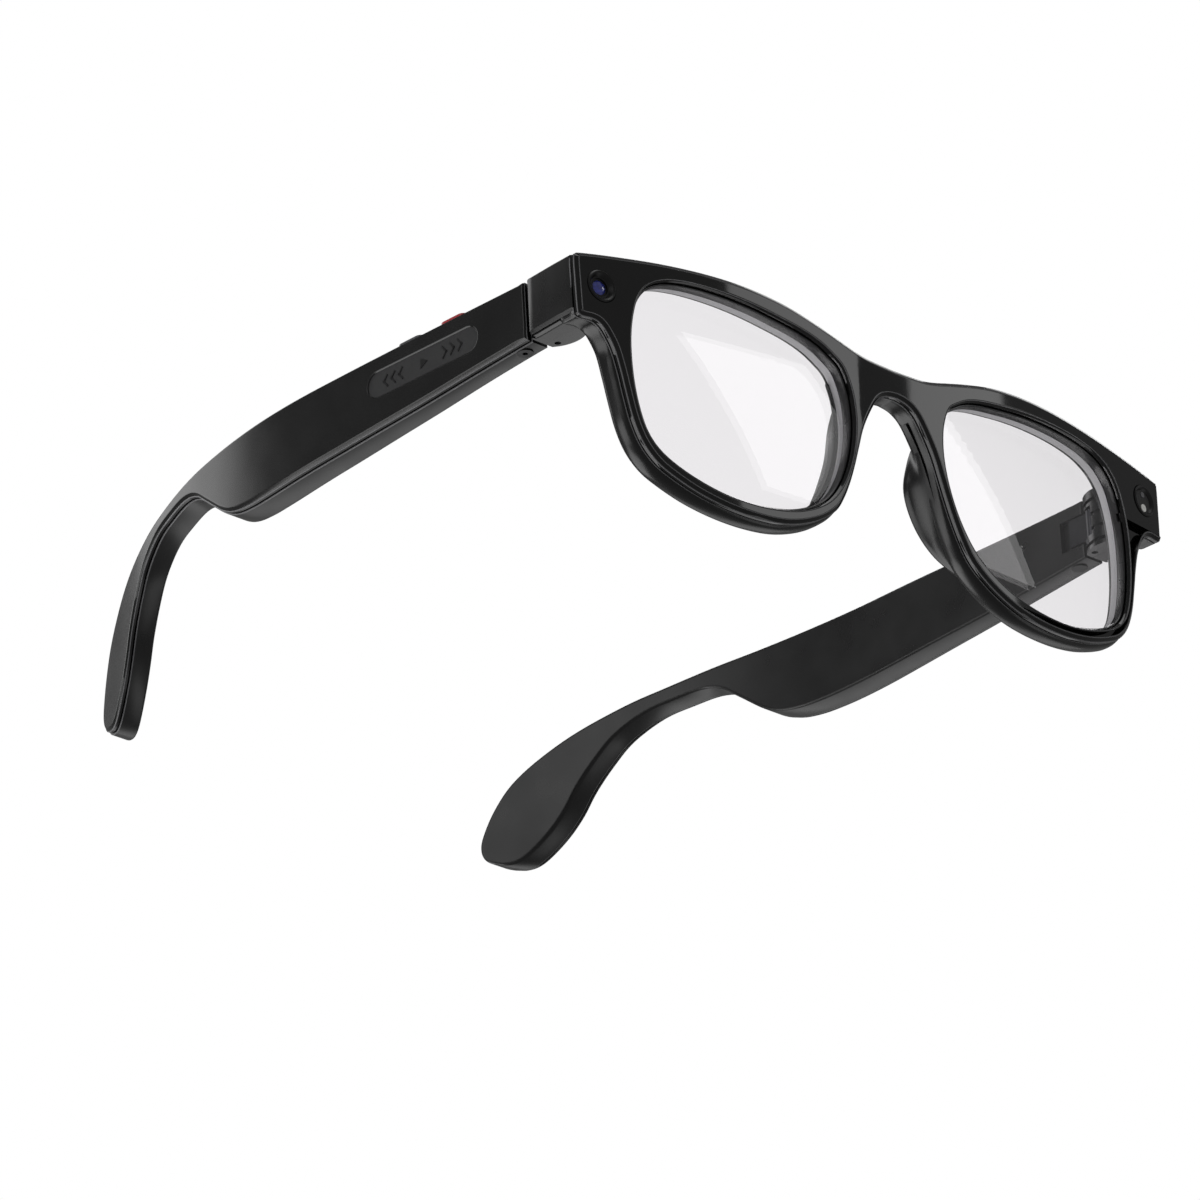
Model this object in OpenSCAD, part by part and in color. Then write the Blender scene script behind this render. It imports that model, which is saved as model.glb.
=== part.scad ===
// Smart glasses with a front camera, a status light, a touch pad and two push buttons.
// +X is the wearer's left, +Y runs back along the temples, +Z is up.
// Inside the modules y = 0 is the middle of the front's face and z = 0 is the camera's height;
// place() then moves everything so that the origin is under the middle of the whole pair.

/* [Front] */
// Radius of the face-form curve seen from above
wrap_r = 540; // [300:10:900]
// Thickness of the glossy front cover
cover_t = 1.2; // [0.8:0.1:2]
// Width of the seam behind the front cover
seam_w = 0.3; // [0.2:0.05:0.6]
// Depth of the seam
seam_d = 0.5; // [0.2:0.1:1]
// Depth from the face to the back of the rims
rim_depth = 5.3; // [4:0.1:7]
// How far the rims swell past the cover below the corners
rim_swell = 0.6; // [0:0.1:1.5]
// Distance from the face to the front of the lens
lens_y = 2.7; // [1.5:0.1:3.5]
// Lens thickness
lens_t = 1.9; // [1:0.1:3]
// Depth of the lens groove
lens_groove = 0.7; // [0.3:0.1:1.2]
// Radial thickness of the trim ring in front of the lens
ring_t = 0.45; // [0.3:0.05:1]

/* [Modules in the corners] */
// Distance of the camera and light centres from the middle
module_x = 69.05; // [60:0.05:72]
// Outside radius of both bezels
bezel_r = 3.0; // [2:0.1:4]
// Radius of the camera's glass
glass_r = 1.35; // [0.8:0.05:2]
// Height of the two windows above and below the bezel's centre
window_dz = 1.35; // [1:0.05:1.6]
// Radius of the status light
light_r = 0.75; // [0.4:0.05:1]
// Radius of the light sensor
sensor_r = 0.55; // [0.3:0.05:1]

/* [Hinges] */
// Distance of the hinge pin from the middle
pin_x = 68.3; // [66:0.1:70]
// Distance of the hinge pin behind the face
pin_y = 16.5; // [14:0.1:18]
// Hinge pin radius
pin_r = 0.6; // [0.4:0.05:0.8]
// Running clearance in the leaf's bore
pin_gap = 0.04; // [0.01:0.01:0.1]
// Leaf barrel radius
barrel_r = 1.15; // [0.9:0.05:1.5]
// Radius of the ribbed knuckle seen from above
knuckle_r = 6.6; // [5:0.1:8]

/* [Temples] */
// Where the corner block ends
corner_end = 18.2; // [15:0.1:22]
// Where the temple begins
temple_start = 18.9; // [16:0.1:23]
// Outer face's distance from the middle, at the front's face
outer_x = 73.23; // [70:0.01:76]
// How much the temples spread, per mm of length
splay = 0.016; // [0:0.001:0.05]
// Where the inward bend begins
bend_start = 70.8; // [50:0.1:100]
// Where the bend becomes straight
bend_end = 144; // [120:1:150]
// Strength of the inward bend, per 1000 mm
bend_k = 3.544; // [0:0.01:5]
// Thickness of the outer cover
skin_t = 1.1; // [0.8:0.1:1.6]
// Wall of the inner housing
wall = 1.0; // [0.8:0.1:2]

/* [Buttons] */
// Travel of both buttons
button_travel = 0.5; // [0.2:0.05:1]
// How far they stand proud
button_proud = 1.0; // [0.5:0.05:2]
// Width of both buttons
button_w = 2.4; // [2:0.1:3]

/* [Hidden] */
total_len = 155.7;
drop = 36.49;
e = 0.02;
top_z = 5.4;
bot_z = -6.1;
red_y = [35.4, 41.6];
grey_y = [46.25, 52.4];
button_x = 71.05;
pad_y = [30.8, 58.2];
pad_z = -0.5;
pad_h = 4.9;
leaf_z = [-3.1, 2.3];
screw_x = 70.5;
screw_y = 22.4;
screw_r = 1.5;
outlet = [101.9, -6.2];
outlet_slope = 37.5;

// ---------- curves ----------
function cr(a, b, c, d, t) = 0.5 * (2*b + (c - a)*t + (2*a - 5*b + 4*c - d)*t*t
    + (3*b - a - 3*c + d)*t*t*t);
function open_curve(P, n) = [
    for (i = [0 : len(P) - 2]) for (j = [0 : n - 1])
        cr(P[max(i - 1, 0)], P[i], P[i + 1], P[min(i + 2, len(P) - 1)], j / n),
    P[len(P) - 1]];
function ring_curve(P, n) = let (m = len(P)) [
    for (i = [0 : m - 1]) for (j = [0 : n - 1])
        cr(P[(i + m - 1) % m], P[i], P[(i + 1) % m], P[(i + 2) % m], j / n)];
function flip(P) = [for (i = [len(P) - 1 : -1 : 0]) [-P[i][0], P[i][1]]];
function unit(v) = v / max(norm(v), 0.0001);
// every point of a clockwise closed outline moved inwards by d, without the points that a
// corner tighter than d turns back on
function moved(P, d) = let (m = len(P)) [
    for (i = [0 : m - 1])
        let (t = unit(P[(i + 1) % m] - P[(i + m - 1) % m])) P[i] + d * [t[1], -t[0]]];
function inset(P, d) = let (m = len(P), Q = moved(P, d)) [
    for (i = [0 : m - 1])
        if ((Q[(i + 1) % m] - Q[i]) * (P[(i + 1) % m] - P[i]) > 0
            && (Q[i] - Q[(i + m - 1) % m]) * (P[i] - P[(i + m - 1) % m]) > 0) Q[i]];
function step01(v) = let (c = min(max(v, 0), 1)) c * c * (3 - 2 * c);
// the rims swell outwards below the corners, and not in the nose arch
function swell(P, d) = let (m = len(P)) [
    for (i = [0 : m - 1])
        let (t = unit(P[(i + 1) % m] - P[(i + m - 1) % m]),
             k = d * step01((-8 - P[i][1]) / 7) * step01((abs(P[i][0]) - 9) / 6))
        P[i] - k * [t[1], -t[0]]];

// front cover's edge, from the top of the bridge clockwise to the nose arch
edge_pts = [[0, 3.5], [6.5, 3.75], [10, 4.35], [14, 5.45], [19, 6.8], [25, 8.2], [31, 9.0],
    [38, 9.35], [46, 9.1], [55, 8.3], [64, 7.1], [72.6, 5.75], [73.9, 5.2], [74.3, 4.2],
    [74.25, 0], [74.1, -5.4], [73.8, -6.3], [73.0, -6.6], [71.0, -6.55], [69.6, -6.9],
    [68.3, -8.1], [66.6, -11], [65.4, -15], [64.5, -19], [63.2, -24], [61.3, -28],
    [58.5, -30.9], [55, -32.7], [50, -34.4], [45, -35.4], [40, -35.85], [35, -35.8],
    [30, -35.2], [25.5, -33.9], [21, -31.8], [17.2, -29.0], [15.0, -25.9], [13.2, -22.3],
    [11.7, -18.5], [10.4, -14.7], [9.0, -10.7], [7.1, -7.0], [5.0, -3.9], [2.7, -2.4], [0, -1.95]];
half_edge = open_curve(edge_pts, 3);
edge = concat(half_edge, [for (p = flip(half_edge)) if (abs(p[0]) > 0.01) p]);

// lens opening on the wearer's left
opening_pts = [[16.2, 1.7], [19, 3.1], [23, 4.2], [28, 5.0], [34, 5.75], [40, 6.1], [46, 6.05],
    [51, 5.6], [55, 4.7], [58.3, 3.0], [60.6, 0.3], [61.9, -3.2], [62.7, -7.5], [62.9, -12],
    [62.6, -17], [61.7, -21.8], [60.3, -25.6], [58, -28.3], [54.5, -30.3], [49.5, -32.0],
    [43.8, -33.1], [38, -33.35], [32.5, -32.9], [27, -31.7], [21.8, -29.4], [17.8, -26.3],
    [14.6, -21.6], [12.5, -16.2], [11.5, -10.8], [11.6, -6.2], [12.4, -2.8], [13.8, 0]];
opening = ring_curve(opening_pts, 3);

// temple's side profile: top edge then bottom edge, as [y, z]
top_pts = [[temple_start, 5.4], [40, 5.3], [60, 5.1], [75, 4.8], [88, 4.5], [100, 4.0],
    [110, 3.4], [120, 2.1], [128, 0.6], [137, -2.4], [144, -6.2], [149.5, -10.6],
    [153, -15.5], [155.2, -20.4], [155.7, -23.2], [155.0, -25.4], [153.2, -26.6]];
low_pts = [[150.8, -27.2], [148.3, -26.7], [145.6, -24.7], [142.6, -21.6], [140, -18],
    [137.5, -13.6], [134, -9], [130, -5], [124, -1.9], [118, -0.8], [112.5, -0.35],
    [108.3, -1.4], [104.5, -4.2], [99.3, -8.2], [95.5, -9.9], [91, -10.6], [86, -10.7],
    [80, -10.5], [70, -9.9], [57, -9.0], [45, -8.2], [33, -7.2], [temple_start, bot_z]];
profile = concat(open_curve(top_pts, 4), open_curve(low_pts, 4));

function bend(y) = let (u = min(max(y - bend_start, 0), bend_end - bend_start),
    v = max(y - bend_end, 0)) bend_k * 0.001 * (u * u + 2 * (bend_end - bend_start) * v);
function xo(y) = outer_x + splay * y - bend(y);
function thick(y) = 5.3 + 1.4 * step01((y - 25) / 60) - 0.8 * step01((y - 95) / 50);
function xi(y) = xo(y) - thick(y);
stations = [for (y = [temple_start - 1 : 3 : total_len + 4]) y];
// plan outline of the layer between two offsets: from the inner face (a) to the outer face (b)
function plan_layer(a, b) = concat([for (y = stations) [xo(y) - b, y]],
    [for (i = [len(stations) - 1 : -1 : 0]) [xi(stations[i]) + a, stations[i]]]);
function plan_skin(a, b) = concat([for (y = stations) [xo(y) - a, y]],
    [for (i = [len(stations) - 1 : -1 : 0]) [xo(stations[i]) - b, stations[i]]]);

// ---------- helpers ----------
module place() translate([0, -total_len / 2, drop]) children();
module on_side(s) { if (s > 0) children(); else mirror([1, 0, 0]) children(); }
// an outline in the front's plane, thickened between two depths behind the curved face
module plate(P, y0, y1) intersection() {
    translate([0, 20, 0]) rotate([90, 0, 0]) linear_extrude(30) polygon(P);
    translate([0, wrap_r, -45]) difference() {
        cylinder(r = wrap_r - y0, h = 70, $fn = 720);
        translate([0, 0, -1]) cylinder(r = wrap_r - y1, h = 72, $fn = 720);
    }
}
module profile_x(P, x0, x1) translate([x0, 0, 0]) rotate([90, 0, 90]) linear_extrude(x1 - x0) polygon(P);
module plan_z(P, z0, z1) translate([0, 0, z0]) linear_extrude(z1 - z0) polygon(P);
module bar(x0, x1, y0, y1, z0, z1) translate([x0, y0, z0]) cube([x1 - x0, y1 - y0, z1 - z0]);
module face_disc(x, z, r, y0, y1, n = 96)
    translate([x, y1, z]) rotate([90, 0, 0]) cylinder(r = r, h = y1 - y0, $fn = n);
// a frame whose local x = 0 is the temple's straight outer face
module on_outer() translate([outer_x, 0, 0]) rotate([0, 0, -atan(splay)]) children();
module slot_shape(len, w, h) linear_extrude(h) union() {
    translate([0, (len - w) / 2]) circle(d = w, $fn = 48);
    translate([0, -(len - w) / 2]) circle(d = w, $fn = 48);
    square([w, len - w], center = true);
}
module_y = module_x * module_x / (2 * wrap_r);
module_tilt = asin(module_x / wrap_r);
// a corner module's own frame: local -Y looks straight out of the curved face
module aimed(s) translate([s * module_x, module_y, 0]) rotate([0, 0, s * module_tilt]) children();
module module_bore(depth) face_disc(0, 0, bezel_r + 0.05, -3, depth);

// ---------- front ----------
module front_cover() color([0.05, 0.05, 0.055]) difference() {
    plate(edge, 0, cover_t);
    for (s = [1, -1]) {
        on_side(s) plate(opening, -1, cover_t + 1);
        aimed(s) module_bore(6);
    }
}
corner_plan = [[74.25, 3.9], [74.1, 6.5], [73.55, corner_end], [69.62, corner_end],
    [69.62, 10.25], [66.0, 9.6], [64.4, 7.6], [63.6, 3.9]];
module nose_pad() hull() {
    translate([10.3, 4.7, -5]) sphere(r = 0.9, $fn = 32);
    translate([10.4, 7.3, -8]) sphere(r = 0.8, $fn = 32);
    translate([10.4, 8.9, -14]) sphere(r = 1.1, $fn = 32);
    translate([12.1, 9.0, -20]) sphere(r = 1.1, $fn = 32);
    translate([15.4, 8.0, -25]) sphere(r = 1.0, $fn = 32);
    translate([12.6, 4.6, -20]) sphere(r = 0.9, $fn = 32);
    translate([17.4, 4.6, -27.6]) sphere(r = 0.9, $fn = 32);
}
module rear_frame() color([0.07, 0.07, 0.075]) difference() {
    union() {
        plate(inset(edge, seam_d), cover_t, cover_t + seam_w + 0.1);
        plate(swell(edge, rim_swell), cover_t + seam_w, rim_depth);
        for (s = [1, -1]) on_side(s) {
            difference() {
                plan_z(corner_plan, bot_z, top_z);
                plate(inset(edge, -2), -2, cover_t + seam_w + 0.2);
                translate([73.9, 10, bot_z]) rotate([0, 45, 0]) cube([1.6, 30, 1.6], center = true);
            }
            nose_pad();
        }
    }
    for (s = [1, -1]) on_side(s) {
        plate(opening, -1, 12);
        plate(inset(opening, -lens_groove - 0.05), lens_y - 0.05, lens_y + lens_t + 0.05);
        aimed(1) module_bore(4.8);
    }
    // wiring channel from corner to corner, along the brow and across the bridge
    plate(brow(0.85), cover_t - 0.1, cover_t + 0.85);
}
brow_pts = [[0, 0.9], [5, 1.4], [9, 2.3], [13, 3.7], [18, 5.05], [24, 6.2], [31, 7.2], [38, 7.7],
    [46, 7.55], [54, 6.7], [60, 4.9], [63.5, 2.9], [65.2, 1.5]];
function brow(w) = let (C = open_curve(brow_pts, 3), F = flip(C),
    L = concat([for (p = F) if (p[0] < -0.01) p], C), m = len(L),
    N = [for (i = [0 : m - 1]) let (t = unit(L[min(i + 1, m - 1)] - L[max(i - 1, 0)])) [-t[1], t[0]]])
    concat([for (i = [0 : m - 1]) L[i] + w * N[i]], [for (i = [m - 1 : -1 : 0]) L[i] - w * N[i]]);
module front_flex() color([0.75, 0.45, 0.15]) plate(brow(0.6), cover_t + 0.2, cover_t + 0.45);
module lens(s) color([0.85, 0.88, 0.9, 0.3]) on_side(s)
    plate(inset(opening, -lens_groove), lens_y, lens_y + lens_t);
module lens_ring(s) color([0.18, 0.18, 0.19]) on_side(s) difference() {
    plate(inset(opening, e), 1.0, lens_y - 0.06);
    plate(inset(opening, ring_t), -1, 6);
    // two short notches in the ring's front edge
    bar(11, 15, -1, 1.7, -2.0, 0);
    bar(60.5, 64.5, 0, 5.1, -6.1, -4.5);
}
// ---------- camera, light and sensor ----------
module camera_bezel() color([0.03, 0.03, 0.03]) aimed(-1) rotate([90, 0, 0])
    rotate_extrude($fn = 96) polygon([[1.75, -2.0], [bezel_r, -2.0], [bezel_r, 0.1], [2.75, 0.3],
        [2.45, 0.1], [2.0, -0.5], [1.75, -0.6]]);
module camera_glass() color([0.15, 0.1, 0.35]) aimed(-1) rotate([90, 0, 0])
    rotate_extrude($fn = 96) polygon([[0, -1.1], [glass_r, -1.1], [glass_r, -0.8], [1.0, -0.62],
        [0.5, -0.52], [0, -0.5]]);
module camera_barrel() color([0.06, 0.06, 0.06]) aimed(-1) rotate([90, 0, 0])
    rotate_extrude($fn = 96) polygon([[0, -3.9], [2.6, -3.9], [2.6, -2.0], [1.73, -2.0], [1.73, -0.75],
        [glass_r + 0.02, -0.75], [glass_r + 0.02, -1.1], [0, -1.1]]);
module camera_board() color([0.1, 0.3, 0.15])
    aimed(-1) translate([0, 4.3, 0]) cube([3.8, 0.8, 3.8], center = true);
module led_bezel() color([0.03, 0.03, 0.03]) aimed(1) difference() {
    rotate([90, 0, 0]) rotate_extrude($fn = 96) polygon([[0, -1.6], [bezel_r, -1.6],
        [bezel_r, 0.1], [2.75, 0.28], [2.45, 0.1], [2.2, -0.25], [0, -0.25]]);
    face_disc(0, -window_dz, light_r + 0.02, -1, 3, 48);
    face_disc(0, window_dz, sensor_r + 0.02, -1, 3, 48);
}
module status_light() color([1, 1, 1]) aimed(1)
    face_disc(0, -window_dz, light_r, 0.1, 1.6, 48);
module light_sensor() color([0.35, 0.35, 0.36]) aimed(1)
    face_disc(0, window_dz, sensor_r, 0.15, 1.6, 48);
module light_board() color([0.1, 0.3, 0.15])
    aimed(1) translate([0, 2.1, 0]) cube([3.8, 1.0, 3.8], center = true);

// ---------- hinges ----------
module hinge_block(s) color([0.12, 0.12, 0.125]) on_side(s) difference() {
    intersection() {
        translate([72.8, 13.7, bot_z + 0.05]) cylinder(r = knuckle_r, h = top_z - bot_z - 0.1, $fn = 96);
        bar(64, 69.62, 10.26, corner_end, bot_z, top_z);
    }
    for (z = [3.1, 0.25, -2.6, -5.3]) difference() {
        translate([72.8, 13.7, z]) cylinder(r = 9, h = 0.7, $fn = 96);
        translate([72.8, 13.7, z - 1]) cylinder(r = knuckle_r - 0.65, h = 3, $fn = 96);
    }
    bar(60, 71, pin_y - 1.4, 30, leaf_z[0] - 0.2, leaf_z[1] + 0.2);
    translate([pin_x, pin_y, -9]) cylinder(r = pin_r + 0.01, h = 14, $fn = 48);
}
module hinge_pin(s) color([0.6, 0.6, 0.62]) on_side(s)
    translate([pin_x, pin_y, -5.7]) cylinder(r = pin_r, h = 10.4, $fn = 48);
module hinge_leaf(s) color([0.3, 0.3, 0.31]) on_side(s) difference() {
    union() {
        translate([pin_x, pin_y, leaf_z[0]]) cylinder(r = barrel_r, h = leaf_z[1] - leaf_z[0], $fn = 64);
        bar(pin_x - 0.1, pin_x + barrel_r, pin_y, 22.2, leaf_z[0], leaf_z[1]);
    }
    translate([pin_x, pin_y, -9]) cylinder(r = pin_r + pin_gap, h = 18, $fn = 64);
}

// ---------- temples ----------
room = [[26, 4.3], [92, 3.1], [97, 1.5], [97, -6.4], [92, -9.2], [86, -9.5], [60, -8.0], [26, -5.6]];
module shell_cut() intersection() {
    profile_x(room, 55, 80);
    plan_z(plan_layer(wall, skin_t - e), -40, 20);
}
module temple_housing(s) color([0.2, 0.2, 0.205]) on_side(s) difference() {
    intersection() { profile_x(profile, 20, 90); plan_z(plan_layer(0, skin_t), -40, 20); }
    shell_cut();
    bar(60, pin_x + barrel_r, 10, 24.5, -3.4, 2.7);
    translate([screw_x, screw_y, -8]) cylinder(r = screw_r + 0.02, h = 3.3, $fn = 64);
    // pocket and duct for the speaker's outlet, in the rear of the deep part
    translate([0, outlet[0], outlet[1]]) rotate([outlet_slope, 0, 0]) {
        bar(xi(102) + 1.3, xi(102) + 4.1, -2.4, 2.4, -0.5, 0.6);
        bar(xi(102) + 1.9, xi(102) + 3.5, -1.6, 1.6, 0.5, 9);
    }
    if (s < 0) for (y = [red_y, grey_y])
        translate([button_x, (y[0] + y[1]) / 2, 3.6]) slot_shape(y[1] - y[0] + 0.3, button_w + 0.3, 4);
}
module temple_cover(s) color([0.1, 0.1, 0.105]) on_side(s) difference() {
    intersection() { profile_x(inset(profile, 0.25), 20, 90); plan_z(plan_skin(0, skin_t - e), -40, 20); }
    if (s < 0) on_outer() translate([-0.75, (pad_y[0] + pad_y[1]) / 2, pad_z])
        rotate([0, 90, 0]) slot_shape(pad_y[1] - pad_y[0], pad_h, 3);
}
module touch_pad() color([0.17, 0.17, 0.175]) on_side(-1) on_outer()
    translate([-0.74, (pad_y[0] + pad_y[1]) / 2, pad_z])
        rotate([0, 90, 0]) slot_shape(pad_y[1] - pad_y[0] - 0.1, pad_h - 0.1, 0.54);
module temple_screw(s) color([0.1, 0.1, 0.1]) on_side(s) difference() {
    translate([screw_x, screw_y, -6.5]) cylinder(r = screw_r, h = 1.7, $fn = 64);
    if (s < 0) translate([screw_x, screw_y, -7]) cylinder(r = 0.55, h = 1.2, $fn = 6);
}
module button(y, c) color(c) on_side(-1) translate([button_x, (y[0] + y[1]) / 2, 0]) {
    translate([0, 0, 3.2]) slot_shape(y[1] - y[0] + 1.1, button_w + 0.5, 0.5);
    translate([0, 0, 3.6]) slot_shape(y[1] - y[0], button_w, top_z - 0.05 + button_proud - 3.6);
}
module switch_board() color([0.1, 0.3, 0.15]) on_side(-1) union() {
    bar(69.6, 72.2, red_y[0] - 0.6, grey_y[1] + 0.1, 1.6, 2.1);
    for (y = [red_y, grey_y]) translate([button_x, (y[0] + y[1]) / 2, 2.05])
        cylinder(r = 0.9, h = 1 - button_travel, $fn = 48);
}
module main_board(s) color([0.1, 0.3, 0.15]) on_side(s) union() {
    bar(71.2, 71.9, 28, 51.5, -5.2, s < 0 ? 1.4 : 3.6);
    bar(69.9, 71.25, 31, 38, -4.4, 0.6);
    bar(70.1, 71.25, 41, 47, -3.9, 0.4);
}
module battery(s) color([0.7, 0.7, 0.72]) on_side(s) bar(69.5, 72.5, 53.5, 77, -7.2, 3.0);
module speaker(s) color([0.15, 0.15, 0.16]) on_side(s) bar(68.9, 72.0, 79.5, 91.5, -8.6, 2.4);
module speaker_grille(s) color([0.25, 0.25, 0.26]) on_side(s)
    translate([0, outlet[0], outlet[1]]) rotate([outlet_slope, 0, 0]) difference() {
        bar(xi(102) + 1.35, xi(102) + 4.05, -2.35, 2.35, 0.2, 0.55);
        for (i = [-2 : 2]) bar(xi(102) + 1.75, xi(102) + 3.65, i * 0.85 - 0.18, i * 0.85 + 0.18, -2, 2);
    }

place() front_cover();
place() rear_frame();
place() lens(-1);  // lens_right
place() lens(1);  // lens_left
place() lens_ring(-1);  // lens_ring_right
place() lens_ring(1);  // lens_ring_left
place() front_flex();
place() camera_bezel();
place() camera_glass();
place() camera_barrel();
place() camera_board();
place() led_bezel();
place() status_light();
place() light_sensor();
place() light_board();
place() hinge_block(-1);  // hinge_block_right
place() hinge_block(1);  // hinge_block_left
place() hinge_pin(-1);  // hinge_pin_right
place() hinge_pin(1);  // hinge_pin_left
place() hinge_leaf(-1);  // hinge_leaf_right
place() hinge_leaf(1);  // hinge_leaf_left
place() temple_housing(-1);  // temple_housing_right
place() temple_housing(1);  // temple_housing_left
place() temple_cover(-1);  // temple_cover_right
place() temple_cover(1);  // temple_cover_left
place() touch_pad();
place() temple_screw(-1);  // screw_right
place() temple_screw(1);  // screw_left
place() button(red_y, [0.75, 0.15, 0.18]);  // button_red
place() button(grey_y, [0.35, 0.35, 0.36]);  // button_grey
place() switch_board();
place() main_board(-1);
place() main_board(1);  // radio_board
place() battery(-1);  // battery_right
place() battery(1);  // battery_left
place() speaker(-1);  // speaker_right
place() speaker(1);  // speaker_left
place() speaker_grille(-1);  // speaker_grille_right
place() speaker_grille(1);  // speaker_grille_left
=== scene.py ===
"""Smart glasses with a corner camera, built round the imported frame.

Sizes are in millimetres in the maker's own frame: u to the wearer's left, depth back from the
middle of the face, and height from the camera's centre. `Datum` turns them into the row's metres.
"""

from __future__ import annotations

import logging
import math
from collections.abc import Callable, Sequence
from dataclasses import dataclass, field
from enum import Enum

import bmesh
import bpy
from mathutils import Matrix, Vector

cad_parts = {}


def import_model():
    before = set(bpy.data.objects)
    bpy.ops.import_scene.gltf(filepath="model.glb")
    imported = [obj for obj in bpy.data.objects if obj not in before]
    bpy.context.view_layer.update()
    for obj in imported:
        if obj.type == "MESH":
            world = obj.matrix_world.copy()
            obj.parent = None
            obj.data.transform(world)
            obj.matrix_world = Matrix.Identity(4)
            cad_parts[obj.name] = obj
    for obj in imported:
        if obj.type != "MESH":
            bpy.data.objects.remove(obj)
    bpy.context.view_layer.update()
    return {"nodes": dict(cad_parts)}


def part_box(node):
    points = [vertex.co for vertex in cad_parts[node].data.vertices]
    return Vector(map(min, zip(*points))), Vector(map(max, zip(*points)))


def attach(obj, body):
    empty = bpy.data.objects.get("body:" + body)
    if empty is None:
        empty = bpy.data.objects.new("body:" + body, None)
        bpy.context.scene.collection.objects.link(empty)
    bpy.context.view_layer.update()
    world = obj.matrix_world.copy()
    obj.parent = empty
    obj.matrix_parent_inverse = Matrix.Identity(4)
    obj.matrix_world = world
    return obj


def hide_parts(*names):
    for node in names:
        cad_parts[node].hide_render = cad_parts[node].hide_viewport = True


LOG = logging.getLogger("glasses")
MM = 0.001
INNER = 100.0  # ring levels of half this or more are counted back from the inner surface
MARK_HEIGHT = 0.16  # how far a raised mark stands through the strip's face, both ways together

Point = tuple[float, float]
Space = Callable[[float, float, float], Vector]


class Side(Enum):
    """Which of the wearer's sides a piece is on, by the sign of its X."""

    RIGHT = -1
    LEFT = 1

    @property
    def word(self) -> str:
        """The side's name in node and body names."""
        return self.name.lower()


# ---------------------------------------------------------------- curves


def spline_point(a: Point, b: Point, c: Point, d: Point, t: float) -> Point:
    """Find a point of the Catmull-Rom span from b to c.

    Args:
        a: The point before the span.
        b: The span's start.
        c: The span's end.
        d: The point after the span.
        t: How far along the span, from 0 to 1.

    Returns:
        The point.
    """
    return tuple(
        0.5
        * (
            2 * b[k]
            + (c[k] - a[k]) * t
            + (2 * a[k] - 5 * b[k] + 4 * c[k] - d[k]) * t * t
            + (3 * b[k] - a[k] - 3 * c[k] + d[k]) * t**3
        )
        for k in range(len(b))
    )


def open_curve(points: Sequence[Point], per_span: int) -> list[Point]:
    """Draw a smooth open curve through points.

    Args:
        points: The points it passes through.
        per_span: Straight pieces between two of them.

    Returns:
        The curve's points, both ends included.
    """
    last = len(points) - 1
    curve = [
        spline_point(
            points[max(i - 1, 0)], points[i], points[i + 1], points[min(i + 2, last)], j / per_span
        )
        for i in range(last)
        for j in range(per_span)
    ]
    return [*curve, points[last]]


def closed_curve(points: Sequence[Point], per_span: int) -> list[Point]:
    """Draw a smooth closed curve through points.

    Args:
        points: The points it passes through.
        per_span: Straight pieces between two of them.

    Returns:
        The curve's points.
    """
    n = len(points)
    return [
        spline_point(
            points[i - 1], points[i], points[(i + 1) % n], points[(i + 2) % n], j / per_span
        )
        for i in range(n)
        for j in range(per_span)
    ]


def mirrored(points: Sequence[Point]) -> list[Point]:
    """Mirror a run of points across the middle, in reverse so that it keeps its turning sense."""
    return [(-p[0], p[1]) for p in reversed(points)]


def smooth_step(value: float) -> float:
    """Ease from 0 to 1 as the value does."""
    v = min(max(value, 0.0), 1.0)
    return v * v * (3 - 2 * v)


def evenly_cut(loop: list[Point], pitch: float) -> list[Point]:
    """Cut the sides of a closed loop into pieces of about one pitch.

    Args:
        loop: The loop.
        pitch: Length of a piece.

    Returns:
        The loop's own points with the new ones between them.
    """
    cut = []
    for a, b in zip(loop, loop[1:] + loop[:1]):
        steps = max(1, round(math.dist(a, b) / pitch))
        cut += [
            (a[0] + (b[0] - a[0]) * k / steps, a[1] + (b[1] - a[1]) * k / steps)
            for k in range(steps)
        ]
    return cut


def outward_normals(loop: Sequence[Point]) -> list[Vector]:
    """Find the outward normal at each point of a clockwise loop."""
    normals = []
    for i in range(len(loop)):
        along = Vector(loop[(i + 1) % len(loop)]) - Vector(loop[i - 1])
        normals.append(Vector((-along.y, along.x)).normalized())
    return normals


def offset_loop(loop: Sequence[Point], inwards: Sequence[float]) -> list[Point]:
    """Move a clockwise loop's points inwards, by less where a corner is too tight for it.

    Args:
        loop: The loop.
        inwards: How far each point moves, negative for outwards.

    Returns:
        The moved points, one for each.
    """
    n = len(loop)
    reach = []
    for i in range(n):
        back = Vector(loop[i]) - Vector(loop[i - 2])
        ahead = Vector(loop[(i + 2) % n]) - Vector(loop[i])
        turn = math.atan2(back.cross(ahead), back.dot(ahead))
        radius = 0.5 * (back.length + ahead.length) / max(abs(turn), 1e-4)
        tight = turn * inwards[i] < 0
        limit = 0.85 * radius if tight else 1e3
        reach.append(math.copysign(min(abs(inwards[i]), limit), inwards[i]))
    normals = outward_normals(loop)
    even = [(reach[i - 1] + 2 * reach[i] + reach[(i + 1) % n]) / 4 for i in range(n)]
    return [
        (loop[i][0] - normals[i].x * even[i], loop[i][1] - normals[i].y * even[i]) for i in range(n)
    ]


# ---------------------------------------------------------------- datum and shared shapes


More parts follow.
